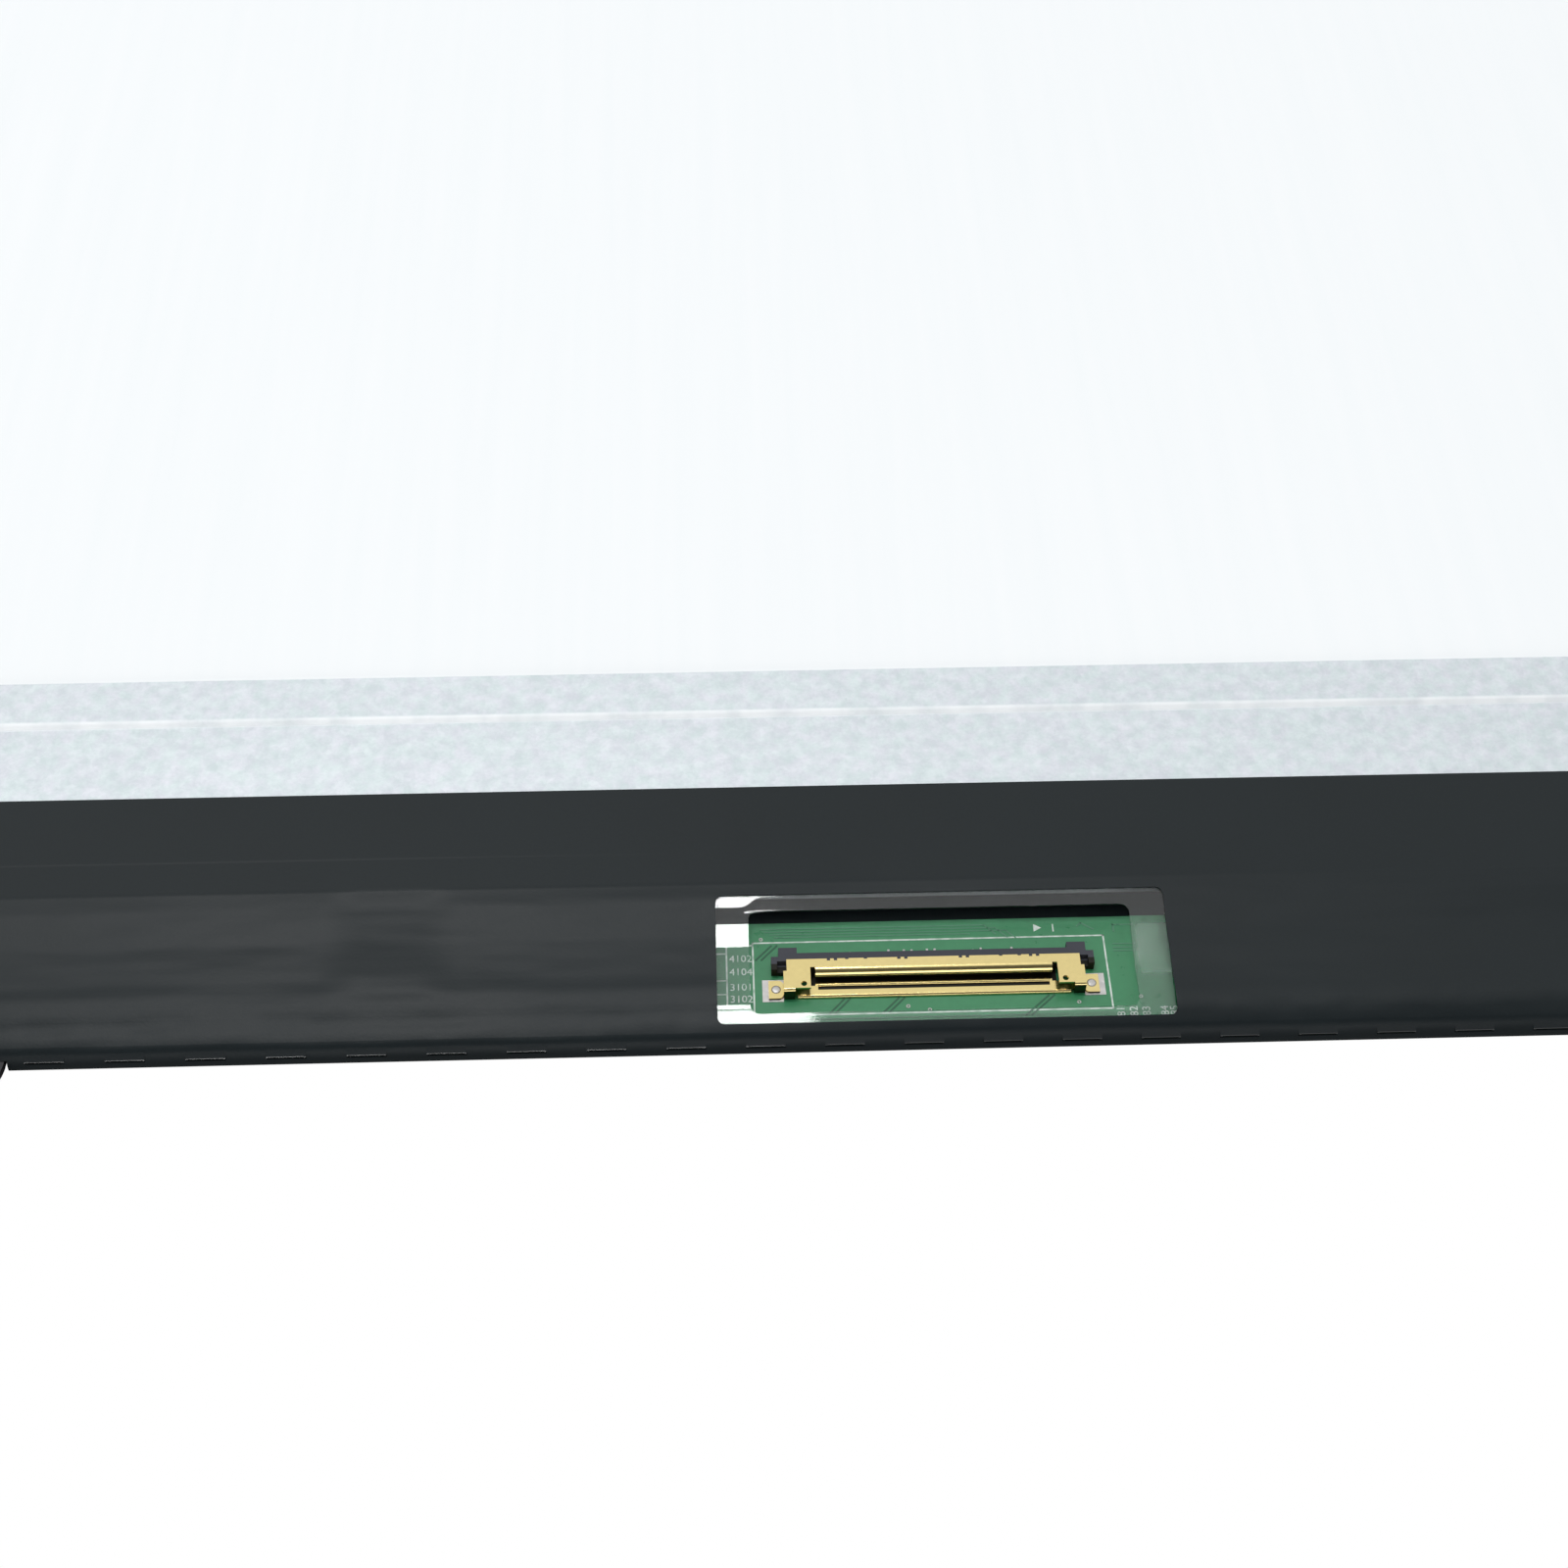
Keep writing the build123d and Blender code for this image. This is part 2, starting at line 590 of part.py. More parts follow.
# Cable connector: the folded metal shell
mouth_half = (CONTACTS - 1) * CONTACT_PITCH / 2 + MOUTH_MARGIN
shell_half = mouth_half + CHEEK
fold_half = mouth_half - MOUTH_RELIEF
lip_half = mouth_half + LIP_END
slot_half = fold_half - BAR_JOINT
y_cheek = y_lip + CHEEK_ROUND
y_mouth = y_lip + MOUTH_SETBACK
y_cheek_rear = y_mouth + CHEEK_REAR
mouth_turn = math.radians(MOUTH_TURN)
y_relief = y_mouth + MOUTH_ROUND * math.sin(mouth_turn)
mouth_reach = (MOUTH_ROUND - SHELL / 2) * math.tan(mouth_turn / 2)
y_mouth_corner = y_relief - mouth_reach
mouth_fall = mouth_reach + MOUTH_EDGE
y_shell_rear = y_mouth + TOP_STRIP
y_slot = y_lip + LIP
y_bar = y_slot + LIP_SLOT
y_tab = y_lip + TAB_SETBACK
z_shell_top = z_board_back + SHELL_HEIGHT
z_top_plate = z_shell_top - SHELL / 2
z_shell_foot = z_board_back + SOLDER
z_lip = z_board_back + LIP_LIFT
with BuildPart() as connector_shell:
    # Top plate: cheeks at both ends of the mouth, and a strip behind it with a notched rear edge
    with BuildSketch(Plane.XY.offset(z_shell_top - SHELL)):
        with Locations((x_connector, (y_cheek + y_shell_rear) / 2)):
            Rectangle(2 * (shell_half - SHELL_WAIST), y_shell_rear - y_cheek)
        with Locations((x_connector, (y_cheek + y_cheek_rear) / 2)):
            Rectangle(2 * shell_half, y_cheek_rear - y_cheek)
        with Locations((x_connector, (y_cheek + y_relief) / 2)):
            Rectangle(2 * mouth_half, y_relief - y_cheek, mode=Mode.SUBTRACT)
        with Locations((x_connector, y_lip + CHEEK_HOLE_AT[1])):
            with GridLocations(2 * (mouth_half + CHEEK_HOLE_AT[0]), 0, 2, 1):
                Circle(CHEEK_HOLE / 2, mode=Mode.SUBTRACT)
        for at in NOTCHES_AT:
            in_pairs(NOTCH_WIDTH, NOTCH_DEPTH, at, y_shell_rear, Mode.SUBTRACT)
        for at in NOTCH_PAIRS_AT:
            in_pairs(NOTCH_WIDTH, 2 * NOTCH_DEPTH, at - NOTCH_SPREAD / 2, y_shell_rear, Mode.SUBTRACT)
            in_pairs(NOTCH_WIDTH, 2 * NOTCH_DEPTH, at + NOTCH_SPREAD / 2, y_shell_rear, Mode.SUBTRACT)
    extrude(amount=SHELL)
    # Edge of the mouth, folded round and down
    mouth_line = [
        (y_relief + SHELL, z_top_plate),
        (y_mouth_corner, z_top_plate),
        (y_mouth_corner - mouth_fall * math.cos(mouth_turn), z_top_plate - mouth_fall * math.sin(mouth_turn)),
    ]
    add(folded_strip(mouth_line, MOUTH_ROUND, x_connector, 2 * fold_half))
    # Front walls of the cheeks, folded down to the board
    cheek_line = [
        (y_cheek + SHELL, z_top_plate),
        (y_lip + SHELL / 2, z_top_plate),
        (y_lip + SHELL / 2, z_shell_foot),
    ]
    for side in (-1, 1):
        x_wall = x_connector + side * (shell_half - CHEEK_WALL / 2)
        add(folded_strip(cheek_line, CHEEK_ROUND, x_wall, CHEEK_WALL))
    # Side walls
    with BuildSketch(Plane.XY.offset(z_shell_foot)):
        in_pairs(SHELL, y_cheek_rear - y_cheek, shell_half - SHELL / 2, (y_cheek + y_cheek_rear) / 2)
    extrude(amount=SHELL_HEIGHT - SHELL - SOLDER)
    # Lower lip, folded down along its front, with a long slot; its plate runs on to the side walls
    lip_line = [
        (y_slot, z_lip + SHELL / 2),
        (y_lip + SHELL / 2, z_lip + SHELL / 2),
        (y_lip + SHELL / 2, z_shell_foot),
    ]
    add(folded_strip(lip_line, LIP_ROUND, x_connector, 2 * lip_half))
    with BuildSketch(Plane.XY.offset(z_lip)):
        with Locations((x_connector, (y_cheek + y_bar) / 2)):
            Rectangle(2 * shell_half - SHELL, y_bar - y_cheek)
        with Locations((x_connector, y_slot + LIP_SLOT / 2)):
            Rectangle(2 * slot_half, LIP_SLOT, mode=Mode.SUBTRACT)
        in_pairs(BAR_JOINT, LIP_BAR, fold_half - BAR_JOINT / 2, y_bar)
    extrude(amount=SHELL)
    # Round bar behind the slot
    with BuildSketch(Plane.YZ.offset(x_connector)) as bar_section:
        with Locations((y_bar + LIP_BAR / 2, z_lip + SHELL / 2)):
            Rectangle(LIP_BAR, SHELL)
        fillet(bar_section.vertices().group_by(Axis.Y)[-1], BAR_ROUND)
    extrude(amount=fold_half, both=True)
    # Solder tabs with a hole, on a neck with round shoulders
    with BuildSketch(Plane.XY.offset(z_shell_foot)):
        with Locations((x_connector, y_tab)):
            with GridLocations(2 * shell_half + TAB_OUT, 0, 2, 1):
                RectangleRounded(TAB_OUT, TAB_WIDTH, TAB_ROUND)
        in_pairs(TAB_OUT / 2, TAB_WIDTH, shell_half + 3 / 4 * TAB_OUT, y_tab)
        in_pairs(TAB_OUT, TAB_WIDTH - 2 * TAB_ROUND, shell_half - SHELL + TAB_OUT / 2, y_tab)
        with Locations((x_connector, y_tab)):
            with GridLocations(2 * shell_half + TAB_OUT, 0, 2, 1):
                Circle(TAB_HOLE / 2, mode=Mode.SUBTRACT)
    extrude(amount=SHELL)
connector_shell.part.label = "connector_shell"
export_step(connector_shell.part, "parts/connector_shell.step")

# Connector housing: bar under the shell, tongue and floor in the mouth, end blocks with legs
y_housing_front = y_lip + HOUSING_FRONT
y_housing_rear = y_lip + HOUSING_REAR
housing_half = shell_half - SHELL_WAIST - HOUSING_FIT
x_block = shell_half + BLOCK_OUT - BLOCK_WIDTH / 2
x_leg = shell_half + LEG_OUT - LEG_WIDTH / 2
y_block = y_lip + BLOCK_FRONT
y_leg = y_lip + LEG_FRONT
y_leg_rear = y_lip + LEG_REAR
y_block_rear = y_lip + BLOCK_REAR
y_floor = y_lip + SHELL + HOUSING_FIT
z_contact = z_board_back + CONTACT_LEVEL
with BuildPart() as connector_housing:
    with BuildSketch(Plane.XY.offset(z_board_back)):
        with Locations((x_connector, (y_housing_front + y_housing_rear) / 2)):
            Rectangle(2 * housing_half, y_housing_rear - y_housing_front)
        in_pairs(BLOCK_WIDTH, y_block_rear - y_block, x_block, (y_block + y_block_rear) / 2)
        in_pairs(LEG_WIDTH, y_leg_rear - y_leg, x_leg, (y_leg + y_leg_rear) / 2)
        in_pairs(x_leg - x_block, y_leg_rear - y_block, (x_block + x_leg) / 2, (y_block + y_leg_rear) / 2)
    extrude(amount=HOUSING_HEIGHT)
    with BuildSketch(Plane.XY.offset(z_board_back)):
        in_pairs(x_leg - housing_half, y_block - y_leg, (x_leg + housing_half) / 2, (y_leg + y_block) / 2)
    extrude(amount=LEG_STEP)
    with BuildSketch(Plane.XY.offset(z_board_back)):
        with Locations((x_connector, (y_floor + y_housing_front) / 2)):
            Rectangle(2 * mouth_half, y_housing_front - y_floor)
    extrude(amount=HOUSING_FLOOR)
    with BuildSketch(Plane.XY.offset(z_contact - TONGUE)):
        with Locations((x_connector, (y_lip + TONGUE_FRONT + y_housing_front) / 2)):
            Rectangle(2 * mouth_half - MOUTH_MARGIN, y_housing_front - y_lip - TONGUE_FRONT)
    extrude(amount=TONGUE)
    # Tunnels that the contacts pass through
    with BuildSketch(Plane.XZ.offset(-y_housing_rear)):
        with Locations((x_connector, z_contact + CONTACT / 2)):
            with GridLocations(CONTACT_PITCH, 0, CONTACTS, 1):
                Rectangle(CONTACT_WIDTH + 2 * CONTACT_CLEARANCE, CONTACT + 2 * CONTACT_CLEARANCE)
    extrude(amount=y_housing_rear - y_housing_front, mode=Mode.SUBTRACT)
connector_housing.part.label = "connector_housing"
export_step(connector_housing.part, "parts/connector_housing.step")

# Contacts: a blade on the tongue, through the housing, and down to a tail on the board
y_contact_leg = y_housing_rear + CONTACT_CLEARANCE
with BuildPart() as contact:
    with BuildSketch(Plane.YZ):
        with BuildLine():
            Polyline(
                (y_lip + TONGUE_FRONT + CONTACT, z_contact),
                (y_contact_leg, z_contact),
                (y_contact_leg, z_board_back),
                (y_contact_leg + CONTACT_TAIL, z_board_back),
                (y_contact_leg + CONTACT_TAIL, z_board_back + CONTACT),
                (y_contact_leg + CONTACT, z_board_back + CONTACT),
                (y_contact_leg + CONTACT, z_contact + CONTACT),
                (y_lip + TONGUE_FRONT + CONTACT, z_contact + CONTACT),
                close=True,
            )
        make_face()
    extrude(amount=CONTACT_WIDTH / 2, both=True)
with BuildPart() as connector_contacts:
    with Locations((x_connector, 0, 0)):
        with GridLocations(CONTACT_PITCH, 0, CONTACTS, 1):
            add(contact.part)
connector_contacts.part.label = "connector_contacts"
export_step(connector_contacts.part, "parts/connector_contacts.step")

# Solder lands under the tabs of the shell
solder_width = TAB_OUT + SOLDER_OUT
with BuildPart() as connector_solder:
    with BuildSketch(Plane.XY.offset(z_board_back)):
        with Locations((x_connector, y_tab)):
            with GridLocations(2 * shell_half + solder_width, 0, 2, 1):
                Rectangle(solder_width, TAB_WIDTH + 2 * SOLDER_MARGIN)
    extrude(amount=SOLDER)
connector_solder.part.label = "connector_solder"
export_step(connector_solder.part, "parts/connector_solder.step")

# Parts on the board under the tape
with BuildPart() as timing_chip:
    add(board_part(TIMING_CHIP, TIMING_CHIP_AT, CHIP_BEVEL))
timing_chip.part.label = "timing_chip"
export_step(timing_chip.part, "parts/timing_chip.step")

with BuildPart() as power_chip:
    add(board_part(POWER_CHIP, POWER_CHIP_AT, CHIP_BEVEL))
power_chip.part.label = "power_chip"
export_step(power_chip.part, "parts/power_chip.step")

with BuildPart() as memory_chip:
    add(board_part(MEMORY_CHIP, MEMORY_CHIP_AT, CHIP_BEVEL))
memory_chip.part.label = "memory_chip"
export_step(memory_chip.part, "parts/memory_chip.step")

with BuildPart() as inductors:
    with BuildSketch(Plane.XY.offset(z_board_back)):
        with Locations((x_board + INDUCTOR_AT[0], y_board_low + INDUCTOR_AT[1])):
            with GridLocations(INDUCTOR_PITCH, 0, INDUCTOR_COUNT, 1):
                RectangleRounded(INDUCTOR, INDUCTOR, INDUCTOR_ROUND)
    extrude(amount=INDUCTOR_HEIGHT)
inductors.part.label = "inductors"
export_step(inductors.part, "parts/inductors.step")

with BuildPart() as capacitors:
    add(board_part(CAPACITOR, CAPACITOR_AT, CHIP_CAP_BEVEL, CAPACITOR_COUNT, CAPACITOR_PITCH))
capacitors.part.label = "capacitors"
export_step(capacitors.part, "parts/capacitors.step")

with BuildPart() as resistors:
    add(board_part(RESISTOR, RESISTOR_AT, CHIP_CAP_BEVEL, RESISTOR_COUNT, RESISTOR_PITCH))
resistors.part.label = "resistors"
export_step(resistors.part, "parts/resistors.step")

# Ribbon of the light bar, through the notches of frame and flange and down into its socket
z_tail = z_board_back + TAIL_LEVEL
y_tail_drop = y_flange - TAIL_PAST_FLANGE
y_socket_high = y_tail_drop - 2 * TAIL_RUN
with BuildPart() as light_bar_tail:
    with BuildSketch(Plane.YZ.offset(x_tail)):
        with BuildLine():
            FilletPolyline(
                (y_strip_low, z_rim - TAIL / 2),
                (y_tail_drop, z_rim - TAIL / 2),
                (y_tail_drop - TAIL_RUN, z_tail),
                (y_socket_high - SOCKET_REACH, z_tail),
                radius=TAIL_BEND,
            )
        trace(line_width=TAIL)
    extrude(amount=TAIL_WIDTH / 2, both=True)
light_bar_tail.part.label = "light_bar_tail"
export_step(light_bar_tail.part, "parts/light_bar_tail.step")

with BuildPart() as light_bar_socket:
    with BuildSketch(Plane.XY.offset(z_board_back)):
        with Locations((x_tail, y_socket_high - SOCKET_DEPTH / 2)):
            Rectangle(SOCKET_LENGTH, SOCKET_DEPTH)
    extrude(amount=SOCKET_HEIGHT)
    with BuildSketch(Plane.XZ.offset(-y_socket_high)):
        with Locations((x_tail, z_tail)):
            Rectangle(TAIL_WIDTH + 2 * SOCKET_SLOT, TAIL + 2 * SOCKET_SLOT)
    extrude(amount=SOCKET_REACH + SOCKET_SLOT, mode=Mode.SUBTRACT)
light_bar_socket.part.label = "light_bar_socket"
export_step(light_bar_socket.part, "parts/light_bar_socket.step")

# Black cover tape: flat on the steel, down over the board, round its lower edge and back along the front
z_crest = z_band_back + TAPE / 2
y_crest = y_flange + TAPE_SETBACK
y_wrap = y_fold + TAPE / 2
z_fold = z_board_back + TAPE_FOLD
z_front_flap = z_driver - TAPE_FRONT_GAP - TAPE / 2
y_front_flap = y_filter_low - TAPE_FILTER_GAP
slope_points = [
    (y_crest, z_crest),
    (y_fold + TAPE_SHOULDER[0], z_board_back + TAPE_SHOULDER[1]),
    (y_fold + TAPE_MIDDLE[0], z_board_back + TAPE_MIDDLE[1]),
    (y_fold + TAPE_BROW[0], z_board_back + TAPE_BROW[1]),
    (y_wrap, z_fold),
]
brow_angle = math.atan2(slope_points[3][1] - z_fold, slope_points[3][0] - y_wrap)
flap_half = board_half + TAPE_FLAP_END
wrap_half = board_half + TAPE_WRAP_END
slits_a_side = int((wrap_half - abs(SLIT_SHIFT) - SLIT / 2) / SLIT_PITCH + 1 / 2)
y_fold_middle = y_wrap + TAPE_FOLD_BEND
z_fold_middle = z_fold - TAPE_FOLD_BEND * math.tan((math.pi / 2 - brow_angle) / 2)
slit_from = math.radians(SLIT_FROM)
slit_to = math.radians(SLIT_TO)
y_slit = y_fold_middle - TAPE_FOLD_BEND * math.sin(slit_from)
z_slit = z_fold_middle + TAPE_FOLD_BEND * math.cos(slit_from)
z_slit_low = z_fold_middle + TAPE_FOLD_BEND * math.cos(slit_to)
tongue_middle = (SLIT_TONGUE - SLIT_ROOT) / 2
tongue_plane = Plane(
    origin=(
        SLIT_SHIFT,
        y_slit - tongue_middle * math.cos(slit_from),
        z_slit - tongue_middle * math.sin(slit_from),
    ),
    x_dir=(1, 0, 0),
    z_dir=(0, -math.sin(slit_from), math.cos(slit_from)),
)
window_at = (x_connector + WINDOW_SHIFT, y_fold + WINDOW_LOW + WINDOW_HEIGHT / 2)
with BuildPart() as black_cover_tape:
    with BuildSketch(Plane.YZ):
        with BuildLine():
            FilletPolyline(
                (y_flange + TAPE_REACH, z_crest),
                *slope_points,
                (y_wrap, z_front_flap),
                (y_front_flap, z_front_flap),
                radius=[
                    TAPE_CREST_BEND, TAPE_SLOPE_BEND, TAPE_SLOPE_BEND, TAPE_SLOPE_BEND,
                    TAPE_FOLD_BEND, TAPE_FRONT_BEND,
                ],
            )
        trace(line_width=TAPE)
    extrude(amount=flap_half, both=True)
    # The wrapped edge and the front flap end short of the ears
    with BuildSketch(Plane.XY):
        with Locations((0, (y_fold + y_front_flap) / 2)):
            with GridLocations(wrap_half + flap_half + TAPE_FLAP_END, 0, 2, 1):
                Rectangle(flap_half - wrap_half + TAPE_FLAP_END, y_front_flap - y_fold + 2 * TAPE)
    extrude(amount=EAR_LEVEL + BRACKET + TAPE_EAR_GAP, mode=Mode.SUBTRACT)
    # The part on the steel runs on towards the sides of the frame
    with BuildSketch(Plane.XY.offset(z_band_back)):
        with Locations((0, y_crest + (TAPE_REACH - TAPE_SETBACK) / 2 + TAPE_CREST_BEND / 2)):
            Rectangle(2 * (frame_half - TAPE_SIDE_GAP), TAPE_REACH - TAPE_SETBACK - TAPE_CREST_BEND)
    extrude(amount=TAPE)
    # Slits along the fold, where the sheet runs on straight in short tongues
    with BuildSketch(Plane.XY.offset(z_slit_low)):
        with Locations((SLIT_SHIFT, y_fold)):
            with GridLocations(SLIT_PITCH, 0, 2 * slits_a_side, 1):
                Rectangle(SLIT, 2 * (y_slit - y_fold))
    extrude(amount=z_slit - z_slit_low + TAPE, mode=Mode.SUBTRACT)
    with BuildSketch(tongue_plane):
        with GridLocations(SLIT_PITCH, 0, 2 * slits_a_side, 1):
            Rectangle(SLIT, SLIT_TONGUE + SLIT_ROOT)
    extrude(amount=TAPE / 2, both=True)
    # Window over the connector
    with BuildSketch(Plane.XY.offset(z_board_back)):
        with Locations(window_at):
            RectangleRounded(WINDOW_WIDTH, WINDOW_HEIGHT, WINDOW_CORNER)
    extrude(amount=z_reflector_back - z_board_back, mode=Mode.SUBTRACT)
black_cover_tape.part.label = "black_cover_tape"
export_step(black_cover_tape.part, "parts/black_cover_tape.step")

# Clear film on the underside of the tape, with a cut-out round the connector
film_drop = TAPE / 2 + FILM / 2 + FILM_GAP
with BuildPart() as window_film:
    with BuildSketch(Plane.YZ.offset(window_at[0])):
        with BuildLine():
            FilletPolyline(
                *[(y, z - film_drop) for y, z in slope_points],
                radius=TAPE_SLOPE_BEND,
            )
        trace(line_width=FILM)
    extrude(amount=WINDOW_WIDTH, both=True)
    with BuildSketch(Plane.XY):
        with Locations(window_at):
            RectangleRounded(WINDOW_WIDTH + 2 * FILM_MARGIN, WINDOW_HEIGHT + 2 * FILM_MARGIN, WINDOW_CORNER)
        with Locations((x_connector + CUTOUT_SHIFT, y_fold + CUTOUT_LOW + CUTOUT_HEIGHT / 2)):
            RectangleRounded(CUTOUT_WIDTH, CUTOUT_HEIGHT, CUTOUT_CORNER, mode=Mode.SUBTRACT)
    extrude(amount=z_reflector_back, mode=Mode.INTERSECT)
window_film.part.label = "window_film"
export_step(window_film.part, "parts/window_film.step")

# Side brackets: a wall snapped over the lugs of the frame, with an ear bent in at each end
y_ear_low = y_flange - EAR_GAP
y_ear_high = y_frame_high + TAPE + EAR_GAP
z_ear = EAR_LEVEL + BRACKET / 2
with BuildPart() as right_bracket:
    for low, high in ((y_bottom, y_ear_low), (y_ear_high, y_top)):
        with BuildSketch(Plane.XZ.offset(-high)):
            with BuildLine():
                FilletPolyline(
                    (panel_half - EAR_WIDTH, z_ear),
                    (panel_half - BRACKET / 2, z_ear),
                    (panel_half - BRACKET / 2, EAR_LEVEL + BRACKET_HEIGHT),
                    radius=BRACKET_BEND,
                )
            trace(line_width=BRACKET)
        extrude(amount=high - low)
    ear_corners = right_bracket.edges().filter_by(Axis.Z).group_by(Axis.X)[0].sort_by(Axis.Y)
    fillet((ear_corners[0], ear_corners[-1]), EAR_CORNER)
    with BuildSketch(Plane.XY.offset(EAR_LEVEL)):
        with Locations(
            (panel_half - EAR_HOLE_INSET, y_bottom + EAR_HOLE_DOWN),
            (panel_half - EAR_HOLE_INSET, y_top - EAR_HOLE_UP),
        ):
            Circle(EAR_HOLE / 2)
    extrude(amount=BRACKET, mode=Mode.SUBTRACT)
    with BuildSketch(Plane.YZ.offset(frame_half)):
        with Locations(((y_ear_low + y_ear_high) / 2, EAR_LEVEL + BRACKET_HEIGHT / 2)):
            Rectangle(y_ear_high - y_ear_low, BRACKET_HEIGHT)
        with Locations((0, EAR_LEVEL + BRACKET_HEIGHT / 2)):
            with GridLocations(ACTIVE_HEIGHT / LUGS_A_SIDE, 0, LUGS_A_SIDE, 1):
                Rectangle(LUG_LENGTH + 2 * LUG_CLEARANCE, LUG_HEIGHT + 2 * LUG_CLEARANCE, mode=Mode.SUBTRACT)
    extrude(amount=BRACKET)
right_bracket.part.label = "right_bracket"
export_step(right_bracket.part, "parts/right_bracket.step")

with BuildPart() as left_bracket:
    mirror(right_bracket.part, about=Plane.YZ)
left_bracket.part.label = "left_bracket"
export_step(left_bracket.part, "parts/left_bracket.step")

# Tape over the top edge: on the reflector, and down the upper face of the frame
z_edge_tape = z_reflector_back + TAPE / 2
y_edge_tape = y_frame_high + TAPE / 2
with BuildPart() as top_edge_tape:
    with BuildSketch(Plane.YZ):
        with BuildLine():
            FilletPolyline(
                (y_frame_high - EDGE_TAPE_REACH, z_edge_tape),
                (y_edge_tape, z_edge_tape),
                (y_edge_tape, EDGE_TAPE_LOW),
                radius=TAPE_FRONT_BEND,
            )
        trace(line_width=TAPE)
    extrude(amount=frame_half - EDGE_TAPE_END, both=True)
top_edge_tape.part.label = "top_edge_tape"
export_step(top_edge_tape.part, "parts/top_edge_tape.step")
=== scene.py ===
import bpy
import math
from mathutils import Matrix, Vector


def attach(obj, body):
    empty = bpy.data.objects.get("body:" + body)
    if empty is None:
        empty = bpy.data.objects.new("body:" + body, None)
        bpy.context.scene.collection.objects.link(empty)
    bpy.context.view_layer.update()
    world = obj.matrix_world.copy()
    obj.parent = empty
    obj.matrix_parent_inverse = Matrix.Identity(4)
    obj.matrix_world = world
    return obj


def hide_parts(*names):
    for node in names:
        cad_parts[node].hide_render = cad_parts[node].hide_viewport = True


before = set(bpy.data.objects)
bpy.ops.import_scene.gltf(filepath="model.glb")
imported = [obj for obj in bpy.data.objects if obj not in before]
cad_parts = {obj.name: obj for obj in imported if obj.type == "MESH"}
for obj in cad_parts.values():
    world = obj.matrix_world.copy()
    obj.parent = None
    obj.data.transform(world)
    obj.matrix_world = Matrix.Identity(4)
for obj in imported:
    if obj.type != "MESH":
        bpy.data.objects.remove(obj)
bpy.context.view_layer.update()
bpy.ops.object.select_all(action="DESELECT")

# The liquid crystal cell: two sheets of display glass between two dark polarisers, laminated to one plate.
# From the front it is a black anti-glare screen with a glossier black border round it.


def new_finish(name, color, roughness, metallic=0.0):
    """Material with a Principled shader, whose plain values are set on the shader itself."""
    material = bpy.data.materials.new(name)
    material.use_nodes = True
    shader = material.node_tree.nodes["Principled BSDF"]
    shader.inputs["Base Color"].default_value = (*color, 1.0)
    shader.inputs["Roughness"].default_value = roughness
    shader.inputs["Metallic"].default_value = metallic
    return material, material.node_tree, shader


def feed(tree, socket, value):
    """Links an output to a socket, or sets a plain value on it."""
    if isinstance(value, bpy.types.NodeSocket):
        tree.links.new(value, socket)
    else:
        socket.default_value = value


def add_node(tree, kind, **values):
    """Shader node with its sockets and properties fed by name."""
    node = tree.nodes.new(kind)
    for key, value in values.items():
        if key in node.inputs.keys():
            feed(tree, node.inputs[key], value)
        else:
            setattr(node, key, value)
    return node


def calculate(tree, operation, *values):
    """Math node on outputs and plain numbers; gives its output."""
    node = add_node(tree, "ShaderNodeMath", operation=operation)
    for socket, value in zip(node.inputs, values):
        feed(tree, socket, value)
    return node.outputs[0]


def dress(material, *names):
    """Gives CAD nodes this material."""
    for name in names:
        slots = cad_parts[name].data.materials
        slots.clear()
        slots.append(material)


# Shared effect: fine uneven grain over a base colour, with its own roughness and bump height
BROAD_GRAIN = 90.0
grain = bpy.data.node_groups.new("fine_grain", "ShaderNodeTree")
grain.interface.new_socket("Color", in_out="INPUT", socket_type="NodeSocketColor")
for socket in ("Roughness", "Scale", "Variation", "Roughness Variation"):
    grain.interface.new_socket(socket, in_out="INPUT", socket_type="NodeSocketFloat")
grain.interface.new_socket("Color", in_out="OUTPUT", socket_type="NodeSocketColor")
for socket in ("Roughness", "Height"):
    grain.interface.new_socket(socket, in_out="OUTPUT", socket_type="NodeSocketFloat")
grain_in = grain.nodes.new("NodeGroupInput").outputs
grain_out = grain.nodes.new("NodeGroupOutput").inputs
grain_place = grain.nodes.new("ShaderNodeTexCoord").outputs["Object"]
fine = add_node(grain, "ShaderNodeTexNoise", Vector=grain_place, Scale=grain_in["Scale"], Detail=3.0)
broad = add_node(grain, "ShaderNodeTexNoise", Vector=grain_place, Scale=BROAD_GRAIN, Detail=4.0)
both = calculate(grain, "ADD", fine.outputs["Fac"], broad.outputs["Fac"])
uneven = calculate(grain, "SUBTRACT", both, 1.0)
tone = calculate(grain, "MULTIPLY_ADD", uneven, grain_in["Variation"], 1.0)
toned = add_node(grain, "ShaderNodeVectorMath", operation="SCALE", Vector=grain_in["Color"], Scale=tone)
feed(grain, grain_out["Color"], toned.outputs[0])
feed(grain, grain_out["Roughness"],
     calculate(grain, "MULTIPLY_ADD", uneven, grain_in["Roughness Variation"], grain_in["Roughness"]))
feed(grain, grain_out["Height"], fine.outputs["Fac"])


